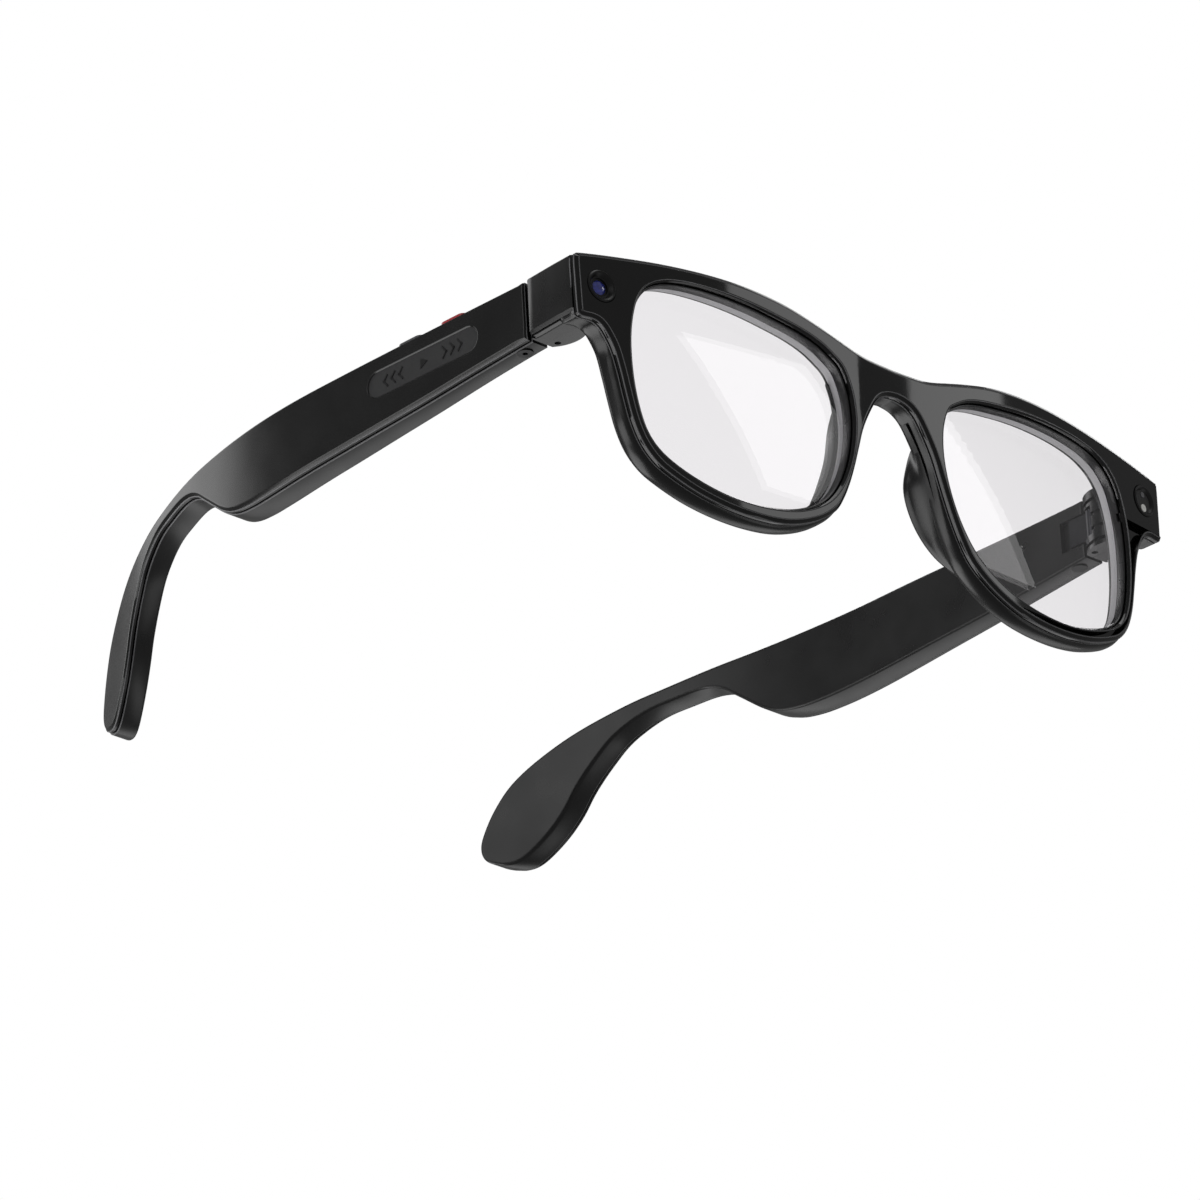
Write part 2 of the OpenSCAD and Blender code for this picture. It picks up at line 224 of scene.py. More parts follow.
@dataclass(frozen=True)
class Datum:
    """Where the maker's own frame lies in the row's frame.

    Args:
        face_y: The middle of the face, in metres.
        eye_z: The camera's height, in metres.
    """

    face_y: float
    eye_z: float

    @classmethod
    def from_frame(cls) -> Datum:
        """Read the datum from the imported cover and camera."""
        cover_low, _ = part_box("front_cover")
        eye_low, eye_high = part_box("camera_bezel")
        return cls(cover_low[1], 0.5 * (eye_low[2] + eye_high[2]))

    def at(self, x: float, y: float, z: float) -> Vector:
        """Turn millimetres of the maker's frame into the row's metres."""
        return Vector((x * MM, self.face_y + y * MM, self.eye_z + z * MM))

    def extent(self, node: str) -> list[Point]:
        """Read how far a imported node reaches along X, Y and Z, in the maker's millimetres."""
        home = (0.0, self.face_y, self.eye_z)
        return [((a - h) / MM, (b - h) / MM) for a, b, h in zip(*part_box(node), home)]


@dataclass(frozen=True)
class FaceShape:
    """The outlines and the curve of the front.

    Args:
        wrap: Radius of the face-form curve seen from above.
        brow: The top edge from the bridge's middle to the corner.
        corner: The outer corner and the rim's outer side, down to the lowest point.
        cheek: The rim's underside and nose side, up to the nose arch.
        window: The lens opening on the wearer's left, clockwise.
    """

    wrap: float = 540.0
    brow: tuple[Point, ...] = (
        (0, 3.5), (6.5, 3.75), (10, 4.35), (14, 5.45), (19, 6.8), (25, 8.2), (31, 9.0),
        (38, 9.35), (46, 9.1), (55, 8.3), (64, 7.1),
    )  # fmt: skip
    corner: tuple[Point, ...] = (
        (72.6, 5.75), (73.9, 5.2), (74.3, 4.2), (74.25, 0), (74.1, -5.4), (73.8, -6.3),
        (73.0, -6.6), (71.0, -6.55), (69.6, -6.9), (68.3, -8.1), (66.6, -11), (65.4, -15),
        (64.5, -19), (63.2, -24), (61.3, -28), (58.5, -30.9), (55, -32.7), (50, -34.4),
        (45, -35.4), (40, -35.85),
    )  # fmt: skip
    cheek: tuple[Point, ...] = (
        (35, -35.8), (30, -35.2), (25.5, -33.9), (21, -31.8), (17.2, -29.0), (15.0, -25.9),
        (13.2, -22.3), (11.7, -18.5), (10.4, -14.7), (9.0, -10.7), (7.1, -7.0), (5.0, -3.9),
        (2.7, -2.4), (0, -1.95),
    )  # fmt: skip
    window: tuple[Point, ...] = (
        (16.2, 1.7), (19, 3.1), (23, 4.2), (28, 5.0), (34, 5.75), (40, 6.1), (46, 6.05),
        (51, 5.6), (55, 4.7), (58.3, 3.0), (60.6, 0.3), (61.9, -3.2), (62.7, -7.5), (62.9, -12),
        (62.6, -17), (61.7, -21.8), (60.3, -25.6), (58, -28.3), (54.5, -30.3), (49.5, -32.0),
        (43.8, -33.1), (38, -33.35), (32.5, -32.9), (27, -31.7), (21.8, -29.4), (17.8, -26.3),
        (14.6, -21.6), (12.5, -16.2), (11.5, -10.8), (11.6, -6.2), (12.4, -2.8), (13.8, 0),
    )  # fmt: skip

    def edge(self) -> list[Point]:
        """Draw the whole front's outline, clockwise from the top of the bridge."""
        half = open_curve(self.brow + self.corner + self.cheek, 5)
        return half + mirrored(half)[1:-1]

    def opening(self, side: Side) -> list[Point]:
        """Draw one lens opening, clockwise."""
        loop = closed_curve(self.window, 5)
        return loop if side is Side.LEFT else mirrored(loop)

    def sag(self, x: float, depth: float = 0.0) -> float:
        """Find how far back the surface at a depth lies at a distance from the middle."""
        return self.wrap - math.sqrt((self.wrap - depth) ** 2 - x * x)


@dataclass(frozen=True)
class TempleShape:
    """The side outline and the plan of a temple.

    Args:
        start: Where the temple begins; not used.
        top: The upper edge, as depth and height.
        low: The lower edge, from the tip forward.
        outer: The outer face's distance from the middle, at the face.
        splay: How much that grows for each mm of depth.
        bend_start: Where the inward bend begins.
        bend_end: Where it becomes straight.
        bend: The bend's strength for each square mm.
    """

    start: float = 18.9
    top: tuple[Point, ...] = (
        (18.9, 5.4), (40, 5.3), (60, 5.1), (75, 4.8), (88, 4.5), (100, 4.0), (110, 3.4),
        (120, 2.1), (128, 0.6), (137, -2.4), (144, -6.2), (149.5, -10.6), (153, -15.5),
        (155.2, -20.4), (155.7, -23.2), (155.0, -25.4), (153.2, -26.6),
    )  # fmt: skip
    low: tuple[Point, ...] = (
        (150.8, -27.2), (148.3, -26.7), (145.6, -24.7), (142.6, -21.6), (140, -18),
        (137.5, -13.6), (134, -9), (130, -5), (124, -1.9), (118, -0.8), (112.5, -0.35),
        (108.3, -1.4), (104.5, -4.2), (99.3, -8.2), (95.5, -9.9), (91, -10.6), (86, -10.7),
        (80, -10.5), (70, -9.9), (57, -9.0), (45, -8.2), (33, -7.2), (18.9, -6.1),
    )  # fmt: skip
    outer: float = 73.23
    splay: float = 0.016
    bend_start: float = 70.8
    bend_end: float = 144.0
    bend: float = 0.003544

    def profile(self) -> list[Point]:
        """Draw the side outline, clockwise seen with the front on the left."""
        return evenly_cut(open_curve(self.top + self.low, 5), 1.5)

    def outer_x(self, y: float) -> float:
        """Find the outer face's distance from the middle at a depth."""
        curved = min(max(y - self.bend_start, 0), self.bend_end - self.bend_start)
        straight = max(y - self.bend_end, 0)
        return self.outer + self.splay * y - self.bend * (
            curved**2 + 2 * (self.bend_end - self.bend_start) * straight
        )

    def thickness(self, y: float) -> float:
        """Find the temple's thickness at a depth."""
        return 5.3 + 1.4 * smooth_step((y - 25) / 60) - 0.8 * smooth_step((y - 95) / 50)

    def inner_x(self, y: float) -> float:
        """Find the inner face's distance from the middle at a depth."""
        return self.outer_x(y) - self.thickness(y)


# ---------------------------------------------------------------- mesh builders


def shade(bm: bmesh.types.BMesh, crease: float) -> None:
    """Shade a mesh smooth, but for edges that turn by more than crease degrees."""
    bm.normal_update()
    for face in bm.faces:
        face.smooth = True
    for edge in bm.edges:
        if len(edge.link_faces) == 2:
            edge.smooth = edge.calc_face_angle(0.0) < math.radians(crease)


def new_object(name: str, bm: bmesh.types.BMesh, crease: float = 30.0) -> bpy.types.Object:
    """Turn a bmesh into a smooth-shaded object with sharp creases.

    Args:
        name: The piece's name.
        bm: The mesh, which is freed.
        crease: Edges that turn by more than this many degrees stay sharp.

    Returns:
        The object, at the origin.
    """
    shade(bm, crease)
    mesh = bpy.data.meshes.new(name)
    bm.to_mesh(mesh)
    bm.free()
    obj = bpy.data.objects.new(name, mesh)
    bpy.context.scene.collection.objects.link(obj)
    return obj


@dataclass(frozen=True)
class Ring:
    """One line of a plate's edge profile.

    Args:
        inset: How far it lies inside the outline.
        level: Its depth: below half of INNER from the outer surface, above it from the inner.
        shaped: A further inset, multiplied by the contour's own weight at each point.
    """

    inset: float
    level: float
    shaped: float = 0.0


@dataclass
class Contour:
    """An outline with the profile of the wall along it.

    Args:
        loop: The outline, clockwise.
        rings: Its profile, from the outer surface to the inner.
        weights: How strongly each point follows the rings' shaped inset.
    """

    loop: list[Point]
    rings: list[Ring]
    weights: list[float] = field(default_factory=list)

    def ring_points(self, ring: Ring) -> list[Point]:
        """Offset the outline to one ring."""
        weights = self.weights or [0.0] * len(self.loop)
        return offset_loop(self.loop, [ring.inset + ring.shaped * w for w in weights])


@dataclass
class CurvedPlate:
    """A plate between two curved surfaces, with profiled edges and windows.

    Args:
        name: The piece's name.
        outer: Its outer contour.
        space: Maps the two flat coordinates and a ring level to the row's metres.
        windows: The contours of its openings.
        pitch: How finely the faces are cut across the curve, in mm.
        domed: Whether the faces are cut the other way too, because they bend both ways.
    """

    name: str
    outer: Contour
    space: Space
    windows: list[Contour] = field(default_factory=list)
    pitch: float = 1.5
    domed: bool = False

    def _wall(self, bm: bmesh.types.BMesh, contour: Contour) -> tuple[list, list]:
        """Build the wall along one contour.

        Args:
            bm: The mesh.
            contour: The contour.

        Returns:
            The edges of its first ring and of its last.
        """
        rows = [
            [bm.verts.new((u, v, ring.level)) for u, v in contour.ring_points(ring)]
            for ring in contour.rings
        ]
        n = len(rows[0])
        for upper, lower in zip(rows, rows[1:]):
            for i in range(n):
                j = (i + 1) % n
                bm.faces.new((upper[i], upper[j], lower[j], lower[i]))
        return tuple(
            [bm.edges.get((row[i], row[(i + 1) % n])) for i in range(n)]
            for row in (rows[0], rows[-1])
        )

    def _slice(self, bm: bmesh.types.BMesh, faces: list[bmesh.types.BMFace]) -> None:
        """Cut flat faces into strips across the curve, so that they can bend.

        Args:
            bm: The mesh.
            faces: The faces to cut.
        """
        mark = bm.faces.layers.int["cap"]
        for face in faces:
            face[mark] = 1
        for axis in (0, 1) if self.domed else (0,):
            normal = Vector((1.0 - axis, float(axis), 0.0))
            places = [v.co[axis] for v in bm.verts]
            first = math.floor(min(places) / self.pitch)
            for k in range(first, math.ceil(max(places) / self.pitch)):
                cut = (k + 0.5) * self.pitch
                crossed = []
                for face in (f for f in bm.faces if f[mark]):
                    reach = [v.co[axis] for v in face.verts]
                    if min(reach) < cut < max(reach):
                        crossed.append(face)
                if not crossed:
                    continue
                edges = {e for f in crossed for e in f.edges}
                verts = {v for f in crossed for v in f.verts}
                bmesh.ops.bisect_plane(
                    bm, geom=[*verts, *edges, *crossed], plane_co=normal * cut, plane_no=normal
                )
        bm.faces.layers.int.remove(mark)

    def build(self) -> bpy.types.Object:
        """Build the plate.

        Returns:
            The object.
        """
        bm = bmesh.new()
        bm.faces.layers.int.new("cap")
        front, back = [], []
        for contour in [self.outer, *self.windows]:
            first, last = self._wall(bm, contour)
            front += first
            back += last
        caps = []
        for edges in (front, back):
            filled = bmesh.ops.triangle_fill(bm, use_beauty=True, use_dissolve=False, edges=edges)
            caps += [g for g in filled["geom"] if isinstance(g, bmesh.types.BMFace)]
        self._slice(bm, caps)
        for vert in bm.verts:
            vert.co = self.space(*vert.co)
        bmesh.ops.recalc_face_normals(bm, faces=bm.faces)
        return new_object(self.name, bm)


def loft(name: str, sections: Sequence[Sequence[Vector]], crease: float = 40.0) -> bpy.types.Object:
    """Skin closed sections of equal point counts, and close both ends.

    Args:
        name: The piece's name.
        sections: The sections in order, in the row's metres.
        crease: Edges that turn by more than this many degrees stay sharp.

    Returns:
        The object.
    """
    bm = bmesh.new()
    rows = [[bm.verts.new(p) for p in section] for section in sections]
    n = len(rows[0])
    for a, b in zip(rows, rows[1:]):
        for i in range(n):
            bm.faces.new((a[i], a[(i + 1) % n], b[(i + 1) % n], b[i]))
    bm.faces.new(rows[0])
    bm.faces.new(rows[-1])
    bmesh.ops.recalc_face_normals(bm, faces=bm.faces)
    return new_object(name, bm, crease)


def cuboid(
    name: str, datum: Datum, side: Side, xs: Point, ys: Point, zs: Point
) -> bpy.types.Object:
    """Build a plain block between pairs of coordinates.

    Args:
        name: Its name.
        datum: Where the maker's frame lies.
        side: The side that it is on.
        xs: Its distances from the middle.
        ys: Its depths.
        zs: Its heights.

    Returns:
        The block.
    """
    bm = bmesh.new()
    bmesh.ops.create_cube(bm, size=1.0)
    for vert in bm.verts:
        x, y, z = (a + (b - a) * (c + 0.5) for (a, b), c in zip((xs, ys, zs), vert.co))
        vert.co = datum.at(side.value * x, y, z)
    bmesh.ops.recalc_face_normals(bm, faces=bm.faces)
    return new_object(f"{name}_{side.word}", bm)


def painted_highlight_line(
    name: str,
    contour: Contour,
    space: Space,
    inset: float,
    level: float,
    width: float = 0.18,
) -> bpy.types.Object:
    """Build a thin rounded line along a moulded edge's crest, coloured as a painted highlight.

    Args:
        name: Its name.
        contour: The outline and weights of the plate's edge; its rings aren't used.
        space: Maps flat coordinates and a level to the row's metres.
        inset: How far the crest lies inside the outline.
        level: Depth of the crest.
        width: Width of the line.

    Returns:
        The line, as one closed ring.
    """
    half, deep = 0.5 * width, level + width
    outer = [
        Ring(inset + 0.4 * half, level - 0.06 * width),
        Ring(inset - 0.5 * half, level + 0.2 * half),
        Ring(inset - half, level + half), Ring(inset - half, deep),
    ]  # fmt: skip
    inner = [Ring(inset + half, level - 0.06 * width), Ring(inset + 1.4 * half, deep)]
    near, far = (Contour(contour.loop, rings, contour.weights) for rings in (outer, inner))
    return CurvedPlate(name, near, space, [far]).build()


def settle(obj: bpy.types.Object) -> bpy.types.Mesh:
    """Turn an object's modifiers into its plain mesh, and give that mesh."""
    bpy.context.view_layer.update()
    graph = bpy.context.evaluated_depsgraph_get()
    mesh = bpy.data.meshes.new_from_object(obj.evaluated_get(graph))
    obj.modifiers.clear()
    obj.data = mesh
    return mesh


def carve(obj: bpy.types.Object, cutters: Sequence[bpy.types.Object]) -> bpy.types.Object:
    """Cut shapes out of a piece and remove them.

    Args:
        obj: The piece.
        cutters: Closed shapes.

    Returns:
        The same piece with its new mesh.
    """
    for cutter in cutters:
        modifier = obj.modifiers.new("cut", "BOOLEAN")
        modifier.operation = "DIFFERENCE"
        modifier.solver = "EXACT"
        modifier.object = cutter
    mesh = settle(obj)
    for cutter in cutters:
        bpy.data.objects.remove(cutter)
    bm = bmesh.new()
    bm.from_mesh(mesh)
    bmesh.ops.remove_doubles(bm, verts=bm.verts, dist=1e-7)
    shade(bm, 30.0)
    bm.to_mesh(mesh)
    bm.free()
    return obj


def lathe(
    name: str, profile: Sequence[Point], place: Space, steps: int
) -> bpy.types.Object:
    """Turn a profile of radius and depth about an axis.

    Args:
        name: The piece's name.
        profile: Radius and depth pairs, closed, with no point on the axis.
        place: Maps two across coordinates and a depth to the row's metres.
        steps: Divisions of the turn.

    Returns:
        The object.
    """
    bm = bmesh.new()
    rows = []
    for k in range(steps):
        turn = 2 * math.pi * k / steps
        across, up = math.cos(turn), math.sin(turn)
        rows.append([bm.verts.new(place(r * across, r * up, d)) for r, d in profile])
    n = len(profile)
    for k in range(steps):
        a, b = rows[k], rows[(k + 1) % steps]
        for i in range(n):
            bm.faces.new((a[i], a[(i + 1) % n], b[(i + 1) % n], b[i]))
    bmesh.ops.recalc_face_normals(bm, faces=bm.faces)
    return new_object(name, bm, 28.0)


# ---------------------------------------------------------------- grown pieces


def start_tree(name: str, inputs: dict[str, str]) -> tuple[bpy.types.NodeTree, bpy.types.Node]:
    """Make a geometry tree with named inputs and a geometry output.

    Args:
        name: The tree's name.
        inputs: Socket types by input name.

    Returns:
        The tree and its input node.
    """
    tree = bpy.data.node_groups.new(name, "GeometryNodeTree")
    for label, kind in inputs.items():
        tree.interface.new_socket(label, in_out="INPUT", socket_type=kind)
    tree.interface.new_socket("Geometry", in_out="OUTPUT", socket_type="NodeSocketGeometry")
    return tree, tree.nodes.new("NodeGroupInput")


def end_tree(tree: bpy.types.NodeTree, geometry: bpy.types.Node) -> None:
    """Realize a tree's instances, set its material and join it to the output."""
    real = add_node(tree, "GeometryNodeRealizeInstances", links={0: geometry})
    finish = Finishes.MARK.material()
    done = add_node(tree, "GeometryNodeSetMaterial", {"in:Material": finish}, {"Geometry": real})
    add_node(tree, "NodeGroupOutput", links={0: done})


def chevron_tree() -> bpy.types.NodeTree:
    """Build the tree that grows a row of arrowheads along Y, each of two short raised bars."""
    sizes = dict.fromkeys(("Pitch", "Start", "Lean"), "NodeSocketFloat")
    tree, given = start_tree("arrow_row", {"Count": "NodeSocketInt", **sizes})
    bar_size = (MARK_HEIGHT * MM, 0.34 * MM, 1.75 * MM)
    arrow = add_node(tree, "GeometryNodeJoinGeometry")
    for up in (-1.0, 1.0):
        bar = add_node(tree, "GeometryNodeMeshCube", {"in:Size": bar_size})
        shift = {"in:Translation": (0, 0, up * 0.62 * MM)}
        lift = add_node(tree, "GeometryNodeTransform", shift, {"Geometry": bar})
        lean = {"operation": "MULTIPLY", "in:1": up * math.radians(38)}
        angle = add_node(tree, "ShaderNodeMath", lean, {0: given.outputs["Lean"]})
        turn = add_node(tree, "ShaderNodeCombineXYZ", links={"X": angle})
        leaning = {"Geometry": lift, "Rotation": turn}
        done = add_node(tree, "GeometryNodeTransform", links=leaning)
        tree.links.new(done.outputs[0], arrow.inputs[0])
    start = add_node(tree, "ShaderNodeCombineXYZ", links={"Y": given.outputs["Start"]})
    step = add_node(tree, "ShaderNodeCombineXYZ", links={"Y": given.outputs["Pitch"]})
    line = {"Count": given.outputs["Count"], "Start Location": start, "Offset": step}
    row = add_node(tree, "GeometryNodeMeshLine", links=line)
    copies = {"Points": row, "Instance": arrow}
    end_tree(tree, add_node(tree, "GeometryNodeInstanceOnPoints", links=copies))
    return tree


def triangle_tree() -> bpy.types.NodeTree:
    """Build the tree that grows one raised triangle that points forward."""
    sizes = dict.fromkeys(("Radius", "Height"), "NodeSocketFloat")
    tree, given = start_tree("raised_triangle", sizes)
    fed = {"Radius": given.outputs["Radius"], "Depth": given.outputs["Height"]}
    shape = add_node(tree, "GeometryNodeMeshCylinder", {"in:Vertices": 3}, fed)
    for turn in ((0.0, 0.0, math.radians(-90)), (0.0, math.radians(90), 0.0)):
        turned = {"in:Rotation": turn}
        shape = add_node(tree, "GeometryNodeTransform", turned, {"Geometry": shape})
    end_tree(tree, shape)
    return tree


def grown(name: str, tree: bpy.types.NodeTree, values: dict[str, float]) -> bpy.types.Object:
    """Run a geometry tree once and keep its mesh.

    Args:
        name: The piece's name.
        tree: The tree.
        values: Its inputs by name.

    Returns:
        The object, with a plain mesh and no modifier.
    """
    obj = bpy.data.objects.new(name, bpy.data.meshes.new(name))
    bpy.context.scene.collection.objects.link(obj)
    modifier = obj.modifiers.new("grow", "NODES")
    modifier.node_group = tree
    for item in tree.interface.items_tree:
        if item.in_out == "INPUT" and item.name in values:
            modifier[item.identifier] = values[item.name]
    settle(obj)
    return obj


# ---------------------------------------------------------------- finishes


def linear(hex_colour: str) -> tuple[float, float, float, float]:
    """Turn an sRGB hex colour into linear values."""
    parts = [int(hex_colour[i : i + 2], 16) / 255 for i in (1, 3, 5)]
    rgb = [c / 12.92 if c <= 0.04045 else ((c + 0.055) / 1.055) ** 2.4 for c in parts]
    return (*rgb, 1.0)


def add_node(
    tree: bpy.types.NodeTree,
    kind: str,
    settings: dict[str, object] | None = None,
    links: dict[str | int, bpy.types.Node | bpy.types.NodeSocket] | None = None,
) -> bpy.types.Node:
    """Add a node, set it up and link its inputs.

    Args:
        tree: The node tree.
        kind: The node's type.
        settings: Attributes by name, or input values by "in:NAME" or "in:NUMBER".
        links: What feeds each input, by its name or number: a socket, or a node's first output.

    Returns:
        The node.
    """
    node = tree.nodes.new(kind)
    for key, value in (settings or {}).items():
        if key.startswith("in:"):
            word = key[3:]
            node.inputs[int(word) if word.isdigit() else word].default_value = value
        else:
            setattr(node, key, value)
    for key, source in (links or {}).items():
        socket = source.outputs[0] if isinstance(source, bpy.types.Node) else source
        tree.links.new(socket, node.inputs[key])
    return node


def start_material(name: str) -> bpy.types.Material:
    """Make an empty node material."""
    material = bpy.data.materials.new(name)
    material.use_nodes = True
    material.node_tree.nodes.clear()
    return material


@dataclass(frozen=True)
class Finish:
    """An opaque moulded, painted or metal surface.

    Args:
        name: What the material is and how it was made.
        colour: Its main colour.
        mottle: The colour that it drifts towards in soft patches.
        roughness: Its roughness.
        spread: How far the roughness wanders either way.
        grain: Size of its surface grain, in mm.
        relief: Height of that grain, in mm.
        patch: Size of its soft patches, in mm.
        metallic: 1 for bare metal.
        ior: Index of refraction.
        coat: Weight of a clear lacquer.
        coat_roughness: Roughness of that lacquer.
    """

    name: str
    colour: str
    mottle: str
    roughness: float
    spread: float = 0.05
    grain: float = 0.25
    relief: float = 0.002
    patch: float = 9.0
    metallic: float = 0.0
    ior: float = 1.5
    coat: float = 0.0
    coat_roughness: float = 0.03

    def material(self) -> bpy.types.Material:
        """Build the material once, and give it again when asked for later."""
        known = bpy.data.materials.get(self.name)
        if known:
            return known
        material = start_material(self.name)
        tree = material.node_tree
        place = add_node(tree, "ShaderNodeTexCoord").outputs["Object"]
        grain, patch = (
            add_node(
                tree,
                "ShaderNodeTexNoise",
                {"in:Scale": 1.0 / (size * MM), "in:Detail": detail, "in:Roughness": decay},
                {"Vector": place},
            )
            for size, detail, decay in ((self.grain, 3.0, 0.6), (self.patch, 2.0, 0.5))
        )
        colours = {"in:6": linear(self.colour), "in:7": linear(self.mottle)}
        tint = add_node(tree, "ShaderNodeMix", {"data_type": "RGBA", **colours}, {0: patch})
        wander = {
            "in:From Min": 0.3,
            "in:From Max": 0.7,
            "in:To Min": max(self.roughness - self.spread, 0.0),
            "in:To Max": min(self.roughness + self.spread, 1.0),
        }
        rough = add_node(tree, "ShaderNodeMapRange", wander, {"Value": patch})
        height = {"in:Strength": 1.0, "in:Distance": self.relief * MM}
        bump = add_node(tree, "ShaderNodeBump", height, {"Height": grain})
        even = {
            "in:Metallic": self.metallic,
            "in:IOR": self.ior,
            "in:Coat Weight": self.coat,
            "in:Coat Roughness": self.coat_roughness,
        }
        fed = {"Base Color": tint.outputs[2], "Roughness": rough, "Normal": bump}
        shader = add_node(tree, "ShaderNodeBsdfPrincipled", even, fed)
        add_node(tree, "ShaderNodeOutputMaterial", links={"Surface": shader})
        return material


@dataclass(frozen=True)
class ClearLens:
    """Polycarbonate with a hard coat: it mirrors a little and darkens what is behind it a little.

    Args:
        name: What it is.
        tint: The colour that light keeps when it passes one surface.
        mirror: Share of light that it mirrors head-on.
    """

    name: str = "hard_coated_polycarbonate"
    tint: str = "#F9F8F9"
    mirror: float = 0.04

    def material(self) -> bpy.types.Material:
        """Build the material once, and give it again when asked for later."""
        known = bpy.data.materials.get(self.name)
        if known:
            return known
        material = start_material(self.name)
        tree = material.node_tree
        place = add_node(tree, "ShaderNodeTexCoord").outputs["Object"]
        soft = {"in:Scale": 60.0, "in:Detail": 2.0}
        haze = add_node(tree, "ShaderNodeTexNoise", soft, {"Vector": place})
        polish = {"in:To Min": 0.0, "in:To Max": 0.01}
        gloss = add_node(tree, "ShaderNodeMapRange", polish, {"Value": haze})
        through = add_node(tree, "ShaderNodeBsdfTransparent", {"in:Color": linear(self.tint)})
        mirror = add_node(tree, "ShaderNodeBsdfAnisotropic", links={"Roughness": gloss})
        facing = add_node(tree, "ShaderNodeLayerWeight", {"in:Blend": 0.5}).outputs["Facing"]
        power = {"operation": "POWER", "in:1": 4.0}
        slope = add_node(tree, "ShaderNodeMath", power, {0: facing})
        shares = {"in:To Min": self.mirror, "in:To Max": 1.0}
        share = add_node(tree, "ShaderNodeMapRange", shares, {"Value": slope})
        mixed = add_node(tree, "ShaderNodeMixShader", links={0: share, 1: through, 2: mirror})
        add_node(tree, "ShaderNodeOutputMaterial", links={"Surface": mixed})
        return material


class Finishes:
    """Every finish on the glasses, named for the real material or for the painted highlight or
    reflection that it carries.
    """

    # Injection-moulded nylon under a polished clear lacquer: sharp reflections, faintly wavy
    COVER = Finish("lacquered_black_nylon", "#090909", "#0C0C0C", 0.03, 0.015, 1.2, 0.0002, 14.0)
    # The same nylon with a fine moulded texture: soft, even highlights
    FRAME = Finish("textured_black_nylon", "#0A0A0A", "#0D0D0E", 0.26, 0.04, 0.25, 0.0008)
    # Satin sides of the temples, slightly warmer and softer than the front
    TEMPLE = Finish("satin_black_nylon", "#070707", "#0A0A0A", 0.22, 0.03, 0.22, 0.0007)
    HOUSING = Finish("moulded_black_nylon", "#0E0E0E", "#121213", 0.3, 0.04, 0.25, 0.001)
    # Crest of a moulded edge, coloured pale grey as a painted highlight: the thin bright line that
    # glossy black edges catch
    CREST = Finish("painted_edge_highlight", "#6E6E70", "#5A5A5C", 0.35, 0.06, 0.3, 0.001, 6.0)
    # Dark ring that carries the lens
    RING = Finish("satin_lens_trim", "#2A2A2B", "#333334", 0.26, 0.05, 0.2, 0.0015)
    # Ground rim of the lens, frosted by the edging wheel: it glows grey where light reaches it, and
    # its near-white colour is partly that frosting and partly a painted reflection of the white
    # background seen through the lens
    EDGE = Finish("frosted_lens_edge_painted_reflection", "#D2D2D4", "#C6C6C8", 0.5, 0.05, 0.2, 0.002, 4.0)
    BEZEL = Finish("fine_matt_bezel", "#040404", "#070707", 0.4, 0.03, 0.5, 0.0005, 3.0)
    BARREL = Finish("black_anodised_barrel", "#17171A", "#1D1D20", 0.35, 0.05, 0.1, 0.001, 2.0, 0.6)
    # Violet-blue antireflection coating over the camera's first lens; its soft brighter blue
    # patches are painted highlights of the coating's glints
    EYE = Finish(
        "coated_camera_glass_painted_glints", "#120E3C", "#4F5BD2", 0.05, 0.02, 0.3, 0.0003, 0.8,
        ior=1.6, coat=1.0, coat_roughness=0.02,
    )  # fmt: skip
    LIGHT = Finish("white_silicone_diffuser", "#F4F4F0", "#E4E4DF", 0.45, 0.05, 0.2, 0.001, 2.0)
    SENSOR = Finish("grey_sensor_window", "#5E5E61", "#6A6A6E", 0.2, 0.05, 0.2, 0.001, 2.0)
    BLOCK = Finish("moulded_hinge_nylon", "#101011", "#161617", 0.24, 0.06, 0.25, 0.002)
    PIN = Finish("turned_steel", "#B9B9BC", "#A5A5A8", 0.25, 0.05, 0.15, 0.001, 3.0, 1.0)
    LEAF = Finish("blackened_spring_steel", "#3A3A3D", "#46464A", 0.35, 0.06, 0.2, 0.002, 4.0, 1.0)
    # Touch strip: a finer, more matt texture than the temple round it
    PAD = Finish("matt_touch_strip", "#1E1E1F", "#232324", 0.42, 0.04, 0.18, 0.003)
    MARK = Finish("polished_relief_mark", "#030303", "#050505", 0.3, 0.04, 0.2, 0.001)
    SCREW = Finish("blackened_screw_steel", "#1D1D1E", "#2A2A2B", 0.35, 0.06, 0.15, 0.002, 2.0, 0.8)
    PLUG = Finish("black_silicone_plug", "#0C0C0C", "#111111", 0.5, 0.05, 0.2, 0.002)
    RED = Finish("red_anodised_button", "#C23A40", "#B02F36", 0.35, 0.05, 0.2, 0.002)
    GREY = Finish("grey_moulded_button", "#4A4A4C", "#535356", 0.4, 0.05, 0.2, 0.002)
    BOARD = Finish("green_solder_mask", "#12502C", "#0E4325", 0.35, 0.06, 0.6, 0.004, 5.0)
    FLEX = Finish("amber_polyimide_flex", "#B06A1E", "#9A5914", 0.3, 0.05, 0.5, 0.003, 5.0)
    FOIL = Finish("aluminium_laminate_foil", "#B9BABD", "#A9AAAD", 0.3, 0.08, 1.2, 0.01, 6.0, 1.0)
    BOX = Finish("black_speaker_box", "#1A1A1C", "#222224", 0.5, 0.05, 0.3, 0.004)
    MESH = Finish("perforated_black_steel", "#3A3A3C", "#444447", 0.4, 0.05, 0.2, 0.002, 3.0, 1.0)
    LENS = ClearLens()


def dress(
    obj: bpy.types.Object,
    finish: Finish | ClearLens,
    body: str,
    nodes: Sequence[str] = (),
) -> bpy.types.Object:
    """Finish a piece: its material, the body that it rides on and the nodes that it stands for.

    Args:
        obj: The piece.
        finish: Its finish.
        body: The body that it moves with.
        nodes: CAD nodes that it replaces.

    Returns:
        The piece.
    """
    obj.data.materials.clear()
    obj.data.materials.append(finish.material())
    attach(obj, body)
    if nodes:
        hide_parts(*nodes)
    LOG.info("%s: %d faces on %s", obj.name, len(obj.data.polygons), body)
    return obj


# ---------------------------------------------------------------- the front


